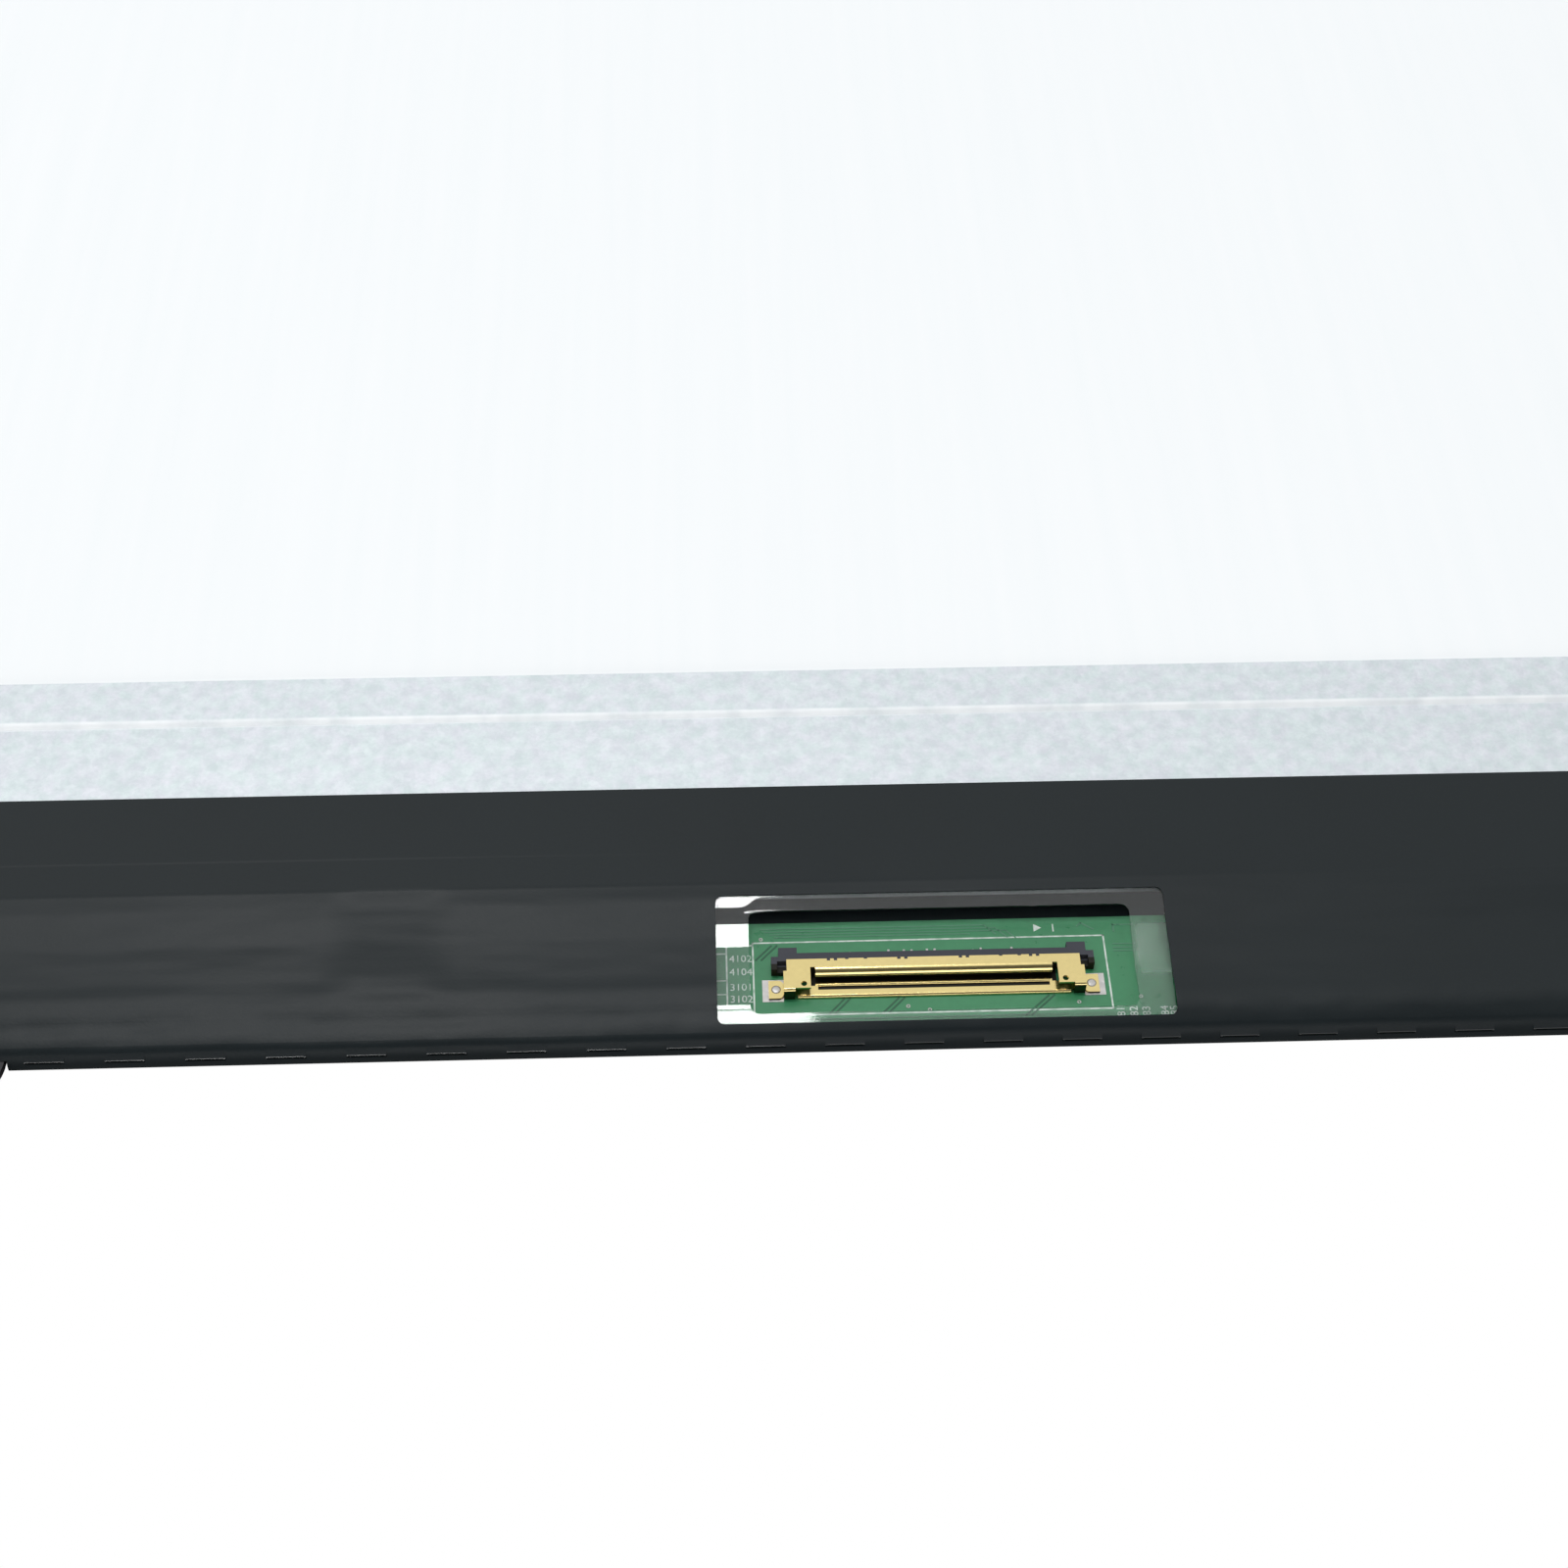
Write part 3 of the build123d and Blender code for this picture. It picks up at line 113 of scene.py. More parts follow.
def grained(name, color, roughness, metallic=0.0, scale=2500.0, variation=0.15, rough_variation=0.1,
            bump=0.0):
    """Finish with the fine grain on its colour and roughness, and on its normal by bump, in metres."""
    material, tree, shader = new_finish(name, color, roughness, metallic)
    effect = add_node(tree, "ShaderNodeGroup", name="grain", node_tree=grain)
    effect.inputs["Color"].default_value = (*color, 1.0)
    effect.inputs["Roughness"].default_value = roughness
    effect.inputs["Scale"].default_value = scale
    effect.inputs["Variation"].default_value = variation
    effect.inputs["Roughness Variation"].default_value = rough_variation
    feed(tree, shader.inputs["Base Color"], effect.outputs["Color"])
    feed(tree, shader.inputs["Roughness"], effect.outputs["Roughness"])
    if bump:
        relief = add_node(tree, "ShaderNodeBump", name="relief", Strength=1.0, Distance=bump,
                          Height=effect.outputs["Height"])
        feed(tree, shader.inputs["Normal"], relief.outputs["Normal"])
    return material, tree, shader


polariser, _, _ = grained("polariser_anti_glare", (0.011, 0.012, 0.015), 0.42, scale=9000.0, bump=0.00002)
dress(polariser, "front_polariser", "rear_polariser")
black_matrix, _, shader = grained("black_matrix_glass", (0.008, 0.008, 0.010), 0.12, scale=1500.0,
                                  rough_variation=0.04)
shader.inputs["Coat Weight"].default_value = 0.6
shader.inputs["Coat Roughness"].default_value = 0.05
dress(black_matrix, "colour_filter_glass")
array_glass, _, shader = grained("array_glass", (0.30, 0.36, 0.34), 0.08, scale=1200.0, rough_variation=0.03)
shader.inputs["Coat Weight"].default_value = 0.8
dress(array_glass, "tft_array_glass")

# The tape ring and the moulded frame: black foam tape, and black polycarbonate with a satin, sparked surface.
# The ring holds the cell on the shelf of the frame, and the frame is one moulding that carries everything.
foam, _, _ = grained("black_foam", (0.012, 0.012, 0.013), 0.7, scale=5000.0, bump=0.00003)
dress(foam, "rim_tape")
moulding, _, shader = grained("black_moulding", (0.010, 0.010, 0.011), 0.5, scale=6000.0, bump=0.00002)
shader.inputs["Specular IOR Level"].default_value = 0.3
dress(moulding, "mould_frame")

# The optical sheets and the light guide: milky and prismatic polyester, and a clear plate with printed dots.
# They lie loose in the rear pocket of the frame, held by their tabs and by the reflector.
PRISM_RIDGES, GUIDE_DOTS = 6500.0, 1600.0


def object_place(tree, **mapping):
    """Place on a piece, in metres, through a Mapping node where its values are given."""
    place = tree.nodes.new("ShaderNodeTexCoord").outputs["Object"]
    if not mapping:
        return place
    return add_node(tree, "ShaderNodeMapping", Vector=place, **mapping).outputs["Vector"]


def two_tones(tree, value, low, low_color, high, high_color):
    """Colour that goes from one to the other as a value goes from low to high."""
    ramp = add_node(tree, "ShaderNodeValToRGB", Fac=value)
    for stop, position, color in zip(ramp.color_ramp.elements, (low, high), (low_color, high_color)):
        stop.position, stop.color = position, (*color, 1.0)
    return ramp.outputs["Color"]


for name, tone in (("upper_diffuser_film", 0.82), ("lower_diffuser_film", 0.80)):
    diffuser, _, _ = grained(name + "_finish", (tone, tone, tone), 0.55, scale=12000.0, variation=0.04)
    dress(diffuser, name)
for name, turn in (("upper_prism_film", 0.0), ("lower_prism_film", math.pi / 2)):
    prism, tree, shader = new_finish(name + "_finish", (0.78, 0.80, 0.82), 0.22)
    ridges = add_node(tree, "ShaderNodeTexWave", Vector=object_place(tree, Rotation=(0.0, 0.0, turn)),
                      Scale=PRISM_RIDGES, wave_profile="TRI")
    relief = add_node(tree, "ShaderNodeBump", Strength=0.6, Distance=0.00002, Height=ridges.outputs["Fac"])
    feed(tree, shader.inputs["Normal"], relief.outputs["Normal"])
    dress(prism, name)
guide, tree, shader = new_finish("guide_plate", (0.80, 0.84, 0.84), 0.1)
dots = add_node(tree, "ShaderNodeTexVoronoi", Vector=object_place(tree), Scale=GUIDE_DOTS)
dotted = two_tones(tree, dots.outputs["Distance"], 0.28, (0.95, 0.95, 0.95), 0.34, (0.74, 0.79, 0.79))
feed(tree, shader.inputs["Base Color"], dotted)
dress(guide, "light_guide_plate")
glue, _, _ = grained("clear_adhesive", (0.70, 0.70, 0.66), 0.3, scale=3000.0)
dress(glue, "reflector_adhesive")

# The reflector: a matt white plastic sheet, with very faint streaks along the way it was drawn.
# Its edges are stuck to the rim of the frame and tucked under the steel band.
STREAKS = (700.0, 25.0, 1.0)  # to the metre across, along and through the sheet


def noise(tree, place, scale, detail, roughness=0.5):
    """Noise from 0 to 1 at a place."""
    return add_node(tree, "ShaderNodeTexNoise", Vector=place, Scale=scale, Detail=detail,
                    Roughness=roughness).outputs["Fac"]


reflector, tree, shader = new_finish("white_reflector", (0.94, 0.96, 0.97), 0.45)
shader.inputs["Specular IOR Level"].default_value = 0.3
streaked = two_tones(tree, noise(tree, object_place(tree, Scale=STREAKS), 1.0, 5.0),
                     0.25, (0.925, 0.948, 0.960), 0.75, (0.950, 0.965, 0.975))
feed(tree, shader.inputs["Base Color"], streaked)
dress(reflector, "reflector_sheet")

# The light bar: white lamps with a yellow lens, soldered along a white flexible strip.
# The strip is stuck under the steel band, and the lenses face the edge of the light guide.


def facing(tree, axis):
    """How far a face looks along an axis, from -1 to 1."""
    normal = tree.nodes.new("ShaderNodeNewGeometry").outputs["True Normal"]
    return add_node(tree, "ShaderNodeSeparateXYZ", Vector=normal).outputs[axis]


strip, _, _ = grained("white_strip", (0.80, 0.81, 0.79), 0.4, scale=4000.0, variation=0.05)
dress(strip, "led_strip_board")
lamp, tree, shader = new_finish("lamp_body", (0.85, 0.83, 0.70), 0.35)
lens = two_tones(tree, facing(tree, "Y"), 0.5, (0.86, 0.86, 0.82), 0.9, (0.80, 0.62, 0.12))
feed(tree, shader.inputs["Base Color"], lens)
dress(lamp, "leds")

# The steel band over the light bar: galvanised sheet, folded with a flange and a joggle along it.
# The zinc is mottled in small crystals, and a broken highlight line is painted into it along the joggle.
# Places and widths are in metres, and the other values are shares or counts to the metre.
Y_JOGGLE = -0.083125  # middle of the joggle
JOGGLE_HALF = 0.0006  # half of the strip whose normals are levelled
PAINTED_HIGHLIGHT_LINE = (0.00012, 0.00036)  # from the middle of the joggle: bright up to here, and faded by there
HIGHLIGHT_BREAKS = (330.0, 60.0, 60.0)
CRYSTALS, MOTTLE, BROAD, TINT = 1900.0, 3800.0, 1150.0, 900.0
CRYSTAL_SHARE, MOTTLE_SHARE = 0.16, 0.6
MIX_SOCKETS = {"VECTOR": (4, 5, 1), "RGBA": (6, 7, 2)}  # the two inputs and the output of a Mix node


def along(tree, axis):
    """Place on a piece along an axis, in metres."""
    return add_node(tree, "ShaderNodeSeparateXYZ", Vector=object_place(tree)).outputs[axis]


def ranged(tree, value, start, end, low=0.0, high=1.0, curve="LINEAR"):
    """Value that goes from low to high as another goes from start to end, and is held past both."""
    spans = {"From Min": start, "From Max": end, "To Min": low, "To Max": high}
    node = add_node(tree, "ShaderNodeMapRange", interpolation_type=curve, Value=value, **spans)
    return node.outputs["Result"]


def mix(tree, kind, share, first, second, blend="MIX"):
    """Colour (RGBA) or vector between two others, by a share from 0 to 1."""
    node = add_node(tree, "ShaderNodeMix", data_type=kind, blend_type=blend)
    from_socket, to_socket, result = MIX_SOCKETS[kind]
    for socket, value in ((0, share), (from_socket, first), (to_socket, second)):
        feed(tree, node.inputs[socket], value)
    return node.outputs[result]


steel, tree, shader = new_finish("galvanised_sheet", (0.74, 0.77, 0.79), 0.30, 0.7)
place = object_place(tree)
crystals = add_node(tree, "ShaderNodeTexVoronoi", Vector=place, Scale=CRYSTALS, Randomness=1.0)
crystal_tone = add_node(tree, "ShaderNodeSeparateColor", Color=crystals.outputs["Color"]).outputs["Red"]
mottle = noise(tree, place, MOTTLE, 4.0, 0.6)
spangle = calculate(tree, "MULTIPLY_ADD", crystal_tone, CRYSTAL_SHARE, noise(tree, place, BROAD, 3.0))
spangle = calculate(tree, "MULTIPLY_ADD", mottle, MOTTLE_SHARE, spangle)
zinc = two_tones(tree, ranged(tree, spangle, 0.65, 1.15), 0.0, (0.67, 0.71, 0.73), 1.0, (0.80, 0.83, 0.85))
tint = two_tones(tree, noise(tree, place, TINT, 2.0), 0.35, (0.95, 1.0, 0.99), 0.65, (1.0, 0.985, 1.02))
from_joggle = calculate(tree, "ABSOLUTE", calculate(tree, "ADD", along(tree, "Y"), -Y_JOGGLE))
highlight_breaks = noise(tree, object_place(tree, Scale=HIGHLIGHT_BREAKS), 1.0, 3.0)
# Painted highlight: the zinc is lightened in a thin broken line along the joggle, where its bend would catch
# the light
bright = calculate(tree, "MULTIPLY", ranged(tree, from_joggle, *PAINTED_HIGHLIGHT_LINE, 1.0, 0.0, "SMOOTHSTEP"),
                   ranged(tree, highlight_breaks, 0.35, 0.6, 0.35, 1.0))
zinc = mix(tree, "RGBA", bright, mix(tree, "RGBA", 1.0, zinc, tint, "MULTIPLY"), (0.95, 0.97, 0.985, 1.0))
levelled = mix(tree, "VECTOR", calculate(tree, "LESS_THAN", from_joggle, JOGGLE_HALF),
               tree.nodes.new("ShaderNodeNewGeometry").outputs["Normal"], (0.0, 0.0, 1.0))
zinc_relief = add_node(tree, "ShaderNodeBump", Strength=0.2, Distance=0.00002, Height=mottle, Normal=levelled)
feed(tree, shader.inputs["Base Color"], zinc)
feed(tree, shader.inputs["Roughness"], ranged(tree, mottle, 0.0, 1.0, 0.27, 0.36))
feed(tree, shader.inputs["Normal"], zinc_relief.outputs["Normal"])
dress(steel, "light_bar_cover")

# The driver films and their chips: amber flexible circuit bonded to the glass and the board, with bare
# silicon on it. The ribbon of the light bar is of the same amber film.
amber, _, _ = grained("amber_circuit", (0.33, 0.15, 0.03), 0.28, scale=2600.0, variation=0.2)
dress(amber, "source_driver_films", "light_bar_tail")
silicon, _, _ = grained("bare_silicon", (0.09, 0.09, 0.10), 0.2, scale=4000.0)
dress(silicon, "driver_chips")

# The circuit board: fibreglass under a glossy green solder mask, with copper tracks that show through it as
# low ridges. White ink is printed on it: an outline round the connector, and numbers for the parts beside it.
# Places are in millimetres from the middle of the connector and from the folded edge of the tape.
X_CONNECTOR, Y_FOLD, Z_BOARD = -98.0, -108.9, 1.2
TRACK, TRACK_HEIGHT, PAIR_PITCH = 0.13, 0.02, 0.36
FINE_TRACK = TRACK * 0.75
TRACK_PAIRS = ((-6.74, 2.45, -5.8, 3.5), (-3.31, 2.45, -2.3, 3.5), (5.75, 2.0, 7.3, 3.45),
               (-11.35, 6.62, -10.35, 7.68))
LONG_TRACKS = ((3.6, 0.7), (4.3, 0.75), (5.0, 0.6), (2.6, 0.0))  # right end, and slant stretch past it
LONG_LEFT, LONG_HIGH, LONG_PITCH, LONG_STAGGER = -11.0, 8.98, 0.22, 0.3
LEVEL_TRACKS = ((2.02, -9.4, 6.2), (1.78, -8.2, 5.2),
                (7.3, 11.9, 15.6), (7.0, 11.9, 15.6), (6.75, 11.9, 15.6))  # height, left end and right end
SHORT_TRACKS = ((9.7, 8.75, 9.95, 9.0), (9.95, 9.0, 10.7, 8.5),
                (12.05, 8.3, 12.05, 8.8), (12.05, 8.8, 13.3, 8.8))
board, _, shader = grained("green_mask", (0.034, 0.222, 0.092), 0.3, scale=1800.0, variation=0.22,
                           bump=0.000008)
shader.inputs["Coat Weight"].default_value = 0.25
shader.inputs["Coat Roughness"].default_value = 0.2
dress(board, "control_board")


def bevel_edges(piece, offset, segments=2, upper=False):
    """Bevels all the edges of a piece, or those above the middle of its own mesh."""
    for edge in piece.data.edges:
        edge.select = not upper or all(piece.data.vertices[i].co.z > 0 for i in edge.vertices)
    bpy.ops.object.mode_set(mode="EDIT")
    bpy.ops.mesh.bevel(offset=offset, segments=segments, affect="EDGES")
    bpy.ops.object.mode_set(mode="OBJECT")


def low_bar(x0, y0, x1, y1, width, height):
    """Low straight bar between two points of the board, in millimetres, with its upper edges bevelled."""
    start, end = Vector((x0, y0)), Vector((x1, y1))
    middle, run = (start + end) / 2, end - start
    bpy.ops.mesh.primitive_cube_add(
        size=1.0,
        location=(X_CONNECTOR + middle.x, Y_FOLD + middle.y, Z_BOARD + height / 2),
        rotation=(0.0, 0.0, math.atan2(run.y, run.x)),
    )
    bar = bpy.context.object
    bar.scale = (run.length + width, width, height)
    bpy.ops.object.transform_apply(location=False, rotation=False, scale=True)
    bevel_edges(bar, height * 0.6, upper=True)
    bar.select_set(False)
    return bar


def finish_piece(name, parts, material):
    """Joins parts modelled in millimetres to one piece at its real size, dresses it and lets it ride."""
    bpy.ops.object.select_all(action="DESELECT")
    for part in parts:
        part.select_set(True)
    piece = bpy.context.view_layer.objects.active = parts[0]
    if len(parts) > 1:
        bpy.ops.object.join()
    bpy.ops.object.transform_apply(location=True, rotation=True, scale=True)
    piece.scale = (0.001, 0.001, 0.001)
    bpy.ops.object.transform_apply(location=True, rotation=True, scale=True)
    piece.name = piece.data.name = name
    piece.data.materials.clear()
    piece.data.materials.append(material)
    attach(piece, "root")
    bpy.ops.object.select_all(action="DESELECT")


# Pairs that run slantwise under the connector, and one by its left end
tracks = [low_bar(x0 + shift, y0, x1 + shift, y1, TRACK, TRACK_HEIGHT)
          for x0, y0, x1, y1 in TRACK_PAIRS for shift in (0.0, PAIR_PITCH)]
dark_track, _, _ = grained("track_under_mask", (0.016, 0.105, 0.050), 0.3, scale=2400.0, variation=0.2)
finish_piece("slant_tracks", tracks, dark_track)

# Long tracks above the connector with slant ends, level ones below it and at its right, and a few short ones
tracks = []
for step, (end, slant) in enumerate(LONG_TRACKS):
    y = LONG_HIGH - LONG_PITCH * step
    tracks.append(low_bar(LONG_LEFT + LONG_STAGGER * step, y, end, y, FINE_TRACK, TRACK_HEIGHT))
    if slant:
        tracks.append(low_bar(end, y, end + slant, y - slant, FINE_TRACK, TRACK_HEIGHT))
for y, x0, x1 in LEVEL_TRACKS:
    tracks.append(low_bar(x0, y, x1, y, FINE_TRACK, TRACK_HEIGHT))
for ends in SHORT_TRACKS:
    tracks.append(low_bar(*ends, TRACK, TRACK_HEIGHT))
light_track, _, _ = grained("light_track_under_mask", (0.075, 0.23, 0.135), 0.3, scale=2400.0, variation=0.2)
finish_piece("long_tracks", tracks, light_track)

# Printed ink, worn in spots: the outline of the connector, and the frames of the numbers at its left
INK, INK_HEIGHT, INK_SPOTS = 0.11, 0.012, 1900.0
INK_LINES = ((-11.54, 7.93, 11.31, 7.98), (11.31, 7.98, 11.33, 2.35), (11.33, 2.35, -11.54, 2.35),
             (-11.54, 2.35, -11.54, 7.93), (-13.25, 3.15, -13.25, 7.75), (-13.25, 7.75, -11.54, 7.75),
             (-14.0, 7.12, -13.25, 7.12), (-14.0, 5.06, -13.25, 5.06), (-14.0, 4.02, -13.25, 4.02))
ink, tree, shader = new_finish("white_ink", (0.62, 0.68, 0.63), 0.6)
ink_tone = two_tones(tree, noise(tree, object_place(tree), INK_SPOTS, 3.0),
                     0.38, (0.42, 0.54, 0.46), 0.58, (0.70, 0.76, 0.71))
feed(tree, shader.inputs["Base Color"], ink_tone)
outline = [low_bar(*ends, INK, INK_HEIGHT) for ends in INK_LINES]
finish_piece("printed_outline", outline, ink)

# Plain numbers beside the connector: level at its left, turned at its right, and one for its first way
DIGIT, FIRST_DIGIT = 0.52, 0.62
DIGIT_SHARE = 0.70  # of the type size that the height of a digit fills
LEVEL_NUMBERS_X, TURNED_NUMBERS_Y, FIRST_NUMBER_AT = -12.34, 2.1, (8.1, 8.62)
FIRST_MARK, FIRST_MARK_AT = 0.34, (7.0, 8.68)


def number(text, x, y, height, turn):
    """Plain number as a thin layer of ink on the board, made a mesh before it is put in its place."""
    bpy.ops.object.text_add(location=(0.0, 0.0, 0.0))
    digits = bpy.context.object
    digits.data.body = text
    digits.data.size = height / DIGIT_SHARE
    digits.data.align_x, digits.data.align_y = "CENTER", "CENTER"
    digits.data.extrude = INK_HEIGHT / 2
    digits.data.resolution_u = 3
    bpy.ops.object.convert(target="MESH")
    digits = bpy.context.object
    digits.rotation_euler = (0.0, 0.0, turn)
    digits.location = (X_CONNECTOR + x, Y_FOLD + y, Z_BOARD + INK_HEIGHT / 2)
    bpy.ops.object.transform_apply(location=True, rotation=True, scale=True)
    digits.select_set(False)
    return digits


numbers = []
for text, y in (("4102", 6.7), ("4104", 5.68), ("3101", 4.52), ("3102", 3.62)):
    numbers.append(number(text, LEVEL_NUMBERS_X, y, DIGIT, 0.0))
for text, x in (("81", 11.81), ("82", 12.64), ("83", 13.44), ("84", 14.61), ("85", 15.22)):
    numbers.append(number(text, x, TURNED_NUMBERS_Y, DIGIT, math.pi / 2))
numbers.append(number("1", *FIRST_NUMBER_AT, FIRST_DIGIT, 0.0))
finish_piece("printed_numbers", numbers, ink)

# Mark for the first way of the connector: a small printed arrowhead
bpy.ops.mesh.primitive_cylinder_add(
    vertices=3,
    radius=FIRST_MARK,
    depth=INK_HEIGHT,
    location=(X_CONNECTOR + FIRST_MARK_AT[0], Y_FOLD + FIRST_MARK_AT[1], Z_BOARD + INK_HEIGHT / 2),
    rotation=(0.0, 0.0, math.pi / 6),
)
arrow = bpy.context.object
bevel_edges(arrow, INK_HEIGHT / 3)
finish_piece("first_way_mark", [arrow], ink)

# The cable connector: a folded, gold-plated shell on a black moulded body, with thirty contacts.
# The front faces of its cheeks carry a painted shade, and the body carries a painted shade inside the mouth.
# The contacts are gold in the mouth and tinned where their tails are soldered behind the body.
CHEEKS_FROM = 0.00885  # metres from the middle of the connector
SHADED_FRONT_FACE = -0.9  # a face that looks forward further than this gets the painted shade
Y_MOUTH = -0.1031
TINNED_TAIL = (-0.1024, -0.1023)
gold, tree, shader = grained("gold_plate", (0.83, 0.67, 0.30), 0.17, 1.0, scale=3500.0, variation=0.08,
                             rough_variation=0.12)
from_middle = calculate(tree, "ABSOLUTE", calculate(tree, "ADD", along(tree, "X"), -X_CONNECTOR / 1000))
# Painted shade: the forward faces of the cheeks are darkened, where the shell shades them
painted_cheek_shade = calculate(tree, "MULTIPLY", calculate(tree, "GREATER_THAN", from_middle, CHEEKS_FROM),
                 calculate(tree, "LESS_THAN", facing(tree, "Y"), SHADED_FRONT_FACE))
gold_or_painted_shade = mix(tree, "RGBA", painted_cheek_shade, tree.nodes["grain"].outputs["Color"], (0.07, 0.06, 0.03, 1.0))
feed(tree, shader.inputs["Base Color"], gold_or_painted_shade)
dress(gold, "connector_shell")
contact_plate, tree, shader = new_finish("contact_plate", (0.80, 0.62, 0.24), 0.22, 1.0)
plating = two_tones(tree, ranged(tree, along(tree, "Y"), *TINNED_TAIL),
                    0.4, (0.80, 0.62, 0.24), 0.6, (0.74, 0.75, 0.75))
feed(tree, shader.inputs["Base Color"], plating)
dress(contact_plate, "connector_contacts")
connector_body, tree, shader = grained("connector_body", (0.050, 0.052, 0.064), 0.45, scale=7000.0,
                                       bump=0.00001)
shader.inputs["Specular IOR Level"].default_value = 0.2
# Painted shade: the body is darkened inside the mouth, where the shell shades it
painted_mouth_shade = calculate(tree, "LESS_THAN", along(tree, "Y"), Y_MOUTH)
body_with_painted_shade = mix(tree, "RGBA", painted_mouth_shade, tree.nodes["grain"].outputs["Color"], (0.007, 0.006, 0.002, 1.0))
feed(tree, shader.inputs["Base Color"], body_with_painted_shade)
dress(connector_body, "connector_housing")

# The solder of the connector: flat tinned lands on the board, and a bright dome in the hole of each tab.
# The domes are low rounded plugs that stand on the lands, fill the holes and rise a little over the tabs.
DOME, DOME_HEIGHT, DOME_ROUND, DOME_LEVEL = 0.297, 0.2, 0.09, 0.125
TAB_HOLE_AT = (10.125, 4.21)  # to both sides of the middle, and from the folded edge
solder, _, _ = grained("bright_solder", (0.50, 0.485, 0.475), 0.42, 0.7, scale=2500.0, variation=0.2,
                       bump=0.00003)
dress(solder, "connector_solder")
domes = []
for side in (-1, 1):
    bpy.ops.mesh.primitive_cylinder_add(
        vertices=32,
        radius=DOME,
        depth=DOME_HEIGHT,
        location=(X_CONNECTOR + side * TAB_HOLE_AT[0], Y_FOLD + TAB_HOLE_AT[1], Z_BOARD + DOME_LEVEL),
    )
    dome = bpy.context.object
    bevel_edges(dome, DOME_ROUND, segments=5, upper=True)
    bpy.ops.object.shade_smooth_by_angle(angle=math.radians(40))
    dome.select_set(False)
    domes.append(dome)
finish_piece("solder_domes", domes, solder)

# Solder feet of the contacts: a low fillet on the board behind each tail, of uneven length
WAYS, WAY_PITCH = 30, 0.5
FOOT, FOOT_HEIGHT, FOOT_FROM, FOOT_TO, FOOT_UNEVEN = 0.15, 0.05, 6.95, 7.0, 0.02
LONG_FEET, LONG_FOOT = (9, 11, 12, 14, 15, 21, 25), 0.12
feet = []
for way in range(WAYS):
    x = (way - (WAYS - 1) / 2) * WAY_PITCH
    extra = LONG_FOOT if way in LONG_FEET else 0.0
    end = FOOT_TO + extra + FOOT_UNEVEN * math.sin(5.1 * way)
    feet.append(low_bar(x, FOOT_FROM, x, end, FOOT, FOOT_HEIGHT))
finish_piece("solder_feet", feet, solder)

# Tinned through-holes of the board: small rings of solder with a sunk middle
RING, RING_WIRE, RING_CUT = 0.1, 0.04, 0.002
RINGS_AT = ((-1.74, 2.85), (-0.38, 2.55), (13.2, 3.2), (-11.0, 8.2), (9.2, 2.9))
rings = []
for x, y in RINGS_AT:
    bpy.ops.mesh.primitive_torus_add(
        major_segments=20, minor_segments=8, major_radius=RING, minor_radius=RING_WIRE,
        location=(X_CONNECTOR + x, Y_FOLD + y, Z_BOARD))
    ring = bpy.context.object
    bpy.ops.object.mode_set(mode="EDIT")
    bpy.ops.mesh.select_all(action="SELECT")
    bpy.ops.mesh.bisect(plane_co=(0.0, Y_FOLD, Z_BOARD + RING_CUT), plane_no=(0.0, 0.0, 1.0), use_fill=False,
                        clear_inner=True)
    bpy.ops.object.mode_set(mode="OBJECT")
    bpy.ops.object.shade_smooth()
    ring.select_set(False)
    rings.append(ring)
finish_piece("through_holes", rings, solder)

# The parts on the board under the tape: moulded chips, ferrite inductors, small ceramic parts and an ivory
# socket. They are soldered to the back of the board, and the tape lies over them.
moulded_chip, _, _ = grained("moulded_chip", (0.020, 0.020, 0.022), 0.55, scale=9000.0, bump=0.00001)
dress(moulded_chip, "timing_chip", "power_chip", "memory_chip")
ferrite, _, _ = grained("ferrite", (0.055, 0.055, 0.060), 0.6, scale=5000.0, bump=0.00002)
dress(ferrite, "inductors")
tan_ceramic, _, _ = grained("tan_ceramic", (0.42, 0.27, 0.15), 0.4, scale=5000.0)
dress(tan_ceramic, "capacitors")
black_ceramic, _, _ = grained("black_ceramic", (0.03, 0.03, 0.035), 0.35, scale=5000.0)
dress(black_ceramic, "resistors")
ivory, _, _ = grained("ivory_plastic", (0.70, 0.66, 0.55), 0.45, scale=5000.0, variation=0.06)
dress(ivory, "light_bar_socket")

# The black cover tape: satin black polyester, flat on the steel, then down over the board and round its edge.
# It lies in long soft waves between the parts under it, flat over the timing chip, and carries a little dust.
# Heights are in millimetres, and the spans along X and Y over which they come in are in metres.
WAVE, WAVES, ON_SLOPE = 0.22, (70.0, 260.0, 70.0), (-0.0972, -0.0988)
DENT, DENTS, BY_FOLD = 0.10, 330.0, (-0.1050, -0.1072)
CHIP_LEFT, CHIP_RIGHT = (-0.1375, -0.1345), (-0.1282, -0.1312)
CHIP_LOW, CHIP_HIGH = (-0.1055, -0.1032), (-0.0972, -0.0990)
CHIP_MIDDLE, CHIP_LEAN = -0.1010, -70.0  # the lean is in millimetres to the metre
EDGE, EDGE_UP, EDGE_LEFT = 0.012, (-0.0950, -0.0948), (-0.105, -0.140)
BROW, BROW_UP, BROW_LEFT = 0.26, (-0.1070, -0.1045), (-0.100, -0.112)
FOLD_ROUNDING = -0.09  # to the square millimetre past the line where the fold begins
FOLD_LINE, FOLD_LINE_ALONG = (0.1062, 0.1072), (-0.088, -0.118)
SPECKS, SPECK, SPECKLESS = 420.0, 0.035, 0.965  # cells to the metre, size in a cell, share of cells without


def smooth(tree, value, span, low=0.0, high=1.0):
    """Value that goes smoothly from low to high over a span."""
    return ranged(tree, value, *span, low, high, "SMOOTHSTEP")


def product(tree, first, second, third):
    """Product of three values."""
    return calculate(tree, "MULTIPLY", calculate(tree, "MULTIPLY", first, second), third)


